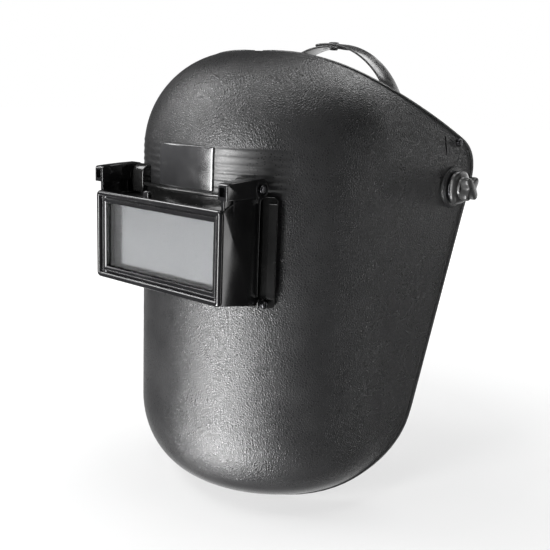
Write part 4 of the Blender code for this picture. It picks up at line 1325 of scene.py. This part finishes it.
def make_ratchet():
    for side, label, upper in ((1, "left", True), (-1, "right", False)):
        strap = mesh_of(f"rack_strap_{label}", rear_strap(side, upper))
        strap.data.materials.append(LOOK_HEADGEAR)
        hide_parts(f"rear_strap_{label}")
        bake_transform(strap)
    reach = radians(24)
    low, high = BAND_LOW - 3, BAND_HIGH + 3
    start, end = pi - reach, pi + reach
    tray = [band(start, end, STRAP_OFFSET - 2.6, STRAP_OFFSET - 4.4, level(low, high), 40, 0.6)]
    for z0, z1 in ((low, BAND_LOW - 0.6), (BAND_HIGH + 0.6, high)):
        tray.append(band(start, end, STRAP_OFFSET + 2.4, STRAP_OFFSET - 3.0, level(z0, z1), 40, 0.5))
    piece("ratchet_tray", join(*tray), LOOK_HEADGEAR, "ratchet", "headgear_black", "ratchet_housing")

    def rounded_ends(t):
        full = smooth(min(t, 1 - t) / 0.08)
        return lerp(low + 4, low, full), lerp(high - 4, high, full)

    cover = band(start, end, STRAP_OFFSET + 5.0, STRAP_OFFSET + 2.8, rounded_ends, 48, 0.8)
    front, back = STRAP_MID_Y + 3.2, STRAP_MID_Y + 6.4
    ring = [(front, 9.2), (front, 13.4), (back, 12.8), (back, 9.2)]
    collar = lathe(ring + ring[:1], 0.4, (0, 0, PINION_Z), (0, 1, 0), 56)
    shape = join(cover, collar)
    piece("ratchet_shell", shape, LOOK_HEADGEAR, "ratchet", "headgear_black", "ratchet_cover")
    base = STRAP_MID_Y + 6.9
    grip = soft_prism(fluted(17.5, 0.7, 16), "Y", base, base + 12, 1.4, 5)
    dish = [(11.2, 0), (11.2, 9.5), (12.0, 10.6), (12.35, 11.4), (12.0, 12.2), (11.0, 12.2), (11.0, 0)]
    dish = [(base + depth, radius) for depth, radius in dish]
    parts = join(grip, lathe(dish, 0.3, (0, 0, PINION_Z), (0, 1, 0), 56))
    piece("adjuster_knob", parts, LOOK_KNOB, "ratchet_knob", "shell_black", "ratchet_knob")


# ---- CAD nodes that stay ----


def dress_cad():
    looks = {
        "inner_clamp_frame": LOOK_HOUSING,
        "fixed_clear_plate": LOOK_CLEAR,
        "plate_retainer": LOOK_RUBBER,
        "cover_lens": LOOK_CLEAR,
        "lens_gasket": LOOK_RUBBER,
        "filter_lens": LOOK_FILTER,
        "lens_clip": LOOK_STEEL,
        "pinion": LOOK_HEADGEAR,
        "ratchet_spring": LOOK_STEEL,
    }
    for index in range(1, 5):
        looks[f"housing_screw_{index}"] = LOOK_STEEL
    for _, label in SIDES:
        looks[f"knob_insert_{label}"] = LOOK_BRASS
        looks[f"tilt_stop_{label}"] = LOOK_HEADGEAR
    for name, look in looks.items():
        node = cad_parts[name]
        node.data.materials.clear()
        node.data.materials.append(look)


# ---- stage ----


def panel_light(name, turn, rise, width, height, radiance):
    """A soft panel, seen from the helmet at these degrees from straight ahead and above the horizon."""
    turn, rise = radians(turn), radians(rise)
    away = Vector((sin(turn) * cos(rise), -cos(turn) * cos(rise), sin(rise)))
    light = bpy.data.lights.new(name, "AREA")
    light.shape = "RECTANGLE"
    light.size, light.size_y = width, height
    light.energy = radiance * pi * width * height
    obj = bpy.data.objects.new(name, light)
    obj.location = Vector(LIGHT_AIM) + away * LIGHT_DISTANCE
    obj.rotation_euler = (-away).to_track_quat("-Z", "Y").to_euler()
    bpy.context.scene.collection.objects.link(obj)


def make_floor():
    """A white floor that shows the helmet's shadow, glows to white further out, and lights nothing itself."""
    size = 6.0
    near, far = 0.3, 0.75
    z = (SHELL_LOW - 1.0) * MM
    mesh = bpy.data.meshes.new("floor")
    corners = [(-size, -size, z), (size, -size, z), (size, size, z), (-size, size, z)]
    mesh.from_pydata(corners, [], [(0, 1, 2, 3)])
    floor = bpy.data.objects.new("floor", mesh)
    bpy.context.scene.collection.objects.link(floor)
    n = Nodes("floor_paper", (0.3, 0.3, 0.3), 1.0)
    n.rough(n.remap(n.noise(20), 0.3, 0.7, 0.95, 1.0))
    n.set("Specular IOR Level", 0.0)
    n.set("Emission Color", (1, 1, 1, 1))
    reach = n.add("ShaderNodeVectorMath", operation="LENGTH")
    n.link(n.place, reach.inputs[0])
    glow = n.remap(reach.outputs["Value"], near, far, 0.62, 1.0)
    n.link(glow, n.shader.inputs["Emission Strength"])
    mesh.materials.append(n.material)
    floor.visible_shadow = False
    floor.visible_diffuse = False
    floor.visible_glossy = False


def make_world():
    """White to look at, but dim as a source of light, except for a pale backdrop behind the helmet."""
    world = bpy.data.worlds.new("studio")
    world.use_nodes = True
    tree = world.node_tree
    ground = tree.nodes["Background"]
    path = tree.nodes.new("ShaderNodeLightPath")
    coords = tree.nodes.new("ShaderNodeTexCoord")
    facing = tree.nodes.new("ShaderNodeVectorMath")
    facing.operation = "DOT_PRODUCT"
    facing.inputs[1].default_value = (-0.44, 0.76, -0.48)
    tree.links.new(coords.outputs["Generated"], facing.inputs[0])
    fall = tree.nodes.new("ShaderNodeMapRange")
    fall.interpolation_type = "SMOOTHSTEP"
    limits = {"From Min": 0.72, "From Max": 0.95, "To Min": WORLD_DIM, "To Max": WORLD_BACK}
    for key, number in limits.items():
        fall.inputs[key].default_value = number
    tree.links.new(facing.outputs["Value"], fall.inputs["Value"])
    seen = tree.nodes.new("ShaderNodeMix")
    seen.inputs["B"].default_value = 1.0
    tree.links.new(path.outputs["Is Camera Ray"], seen.inputs["Factor"])
    tree.links.new(fall.outputs["Result"], seen.inputs["A"])
    ground.inputs["Color"].default_value = (1, 1, 1, 1)
    tree.links.new(seen.outputs["Result"], ground.inputs["Strength"])
    bpy.context.scene.world = world


def make_camera():
    camera = bpy.data.cameras.new("camera")
    camera.lens = CAMERA_LENS
    camera.sensor_width = 36.0
    holder = bpy.data.objects.new("camera", camera)
    turn, pitch, roll = CAMERA_TURN, CAMERA_PITCH, CAMERA_ROLL
    ahead = Vector((-sin(turn) * cos(pitch), cos(turn) * cos(pitch), -sin(pitch)))
    level_right = Vector((cos(turn), sin(turn), 0))
    level_up = level_right.cross(ahead)
    right = level_right * cos(roll) + level_up * sin(roll)
    up = level_up * cos(roll) - level_right * sin(roll)
    placed = Matrix((right, up, -ahead)).transposed().to_4x4()
    placed.translation = Vector(CAMERA_AT) * MM
    holder.matrix_world = placed
    bpy.context.scene.collection.objects.link(holder)
    bpy.context.scene.camera = holder


def make_stage():
    make_floor()
    make_world()
    for light in LIGHTS:
        panel_light(*light)
    bpy.context.scene.view_settings.view_transform = "Standard"
    make_camera()


make_shell()
make_panel()
make_housing()
make_small_parts()
make_holder()
make_ears()
make_headgear()
make_pads()
make_ratchet()
dress_cad()
make_stage()
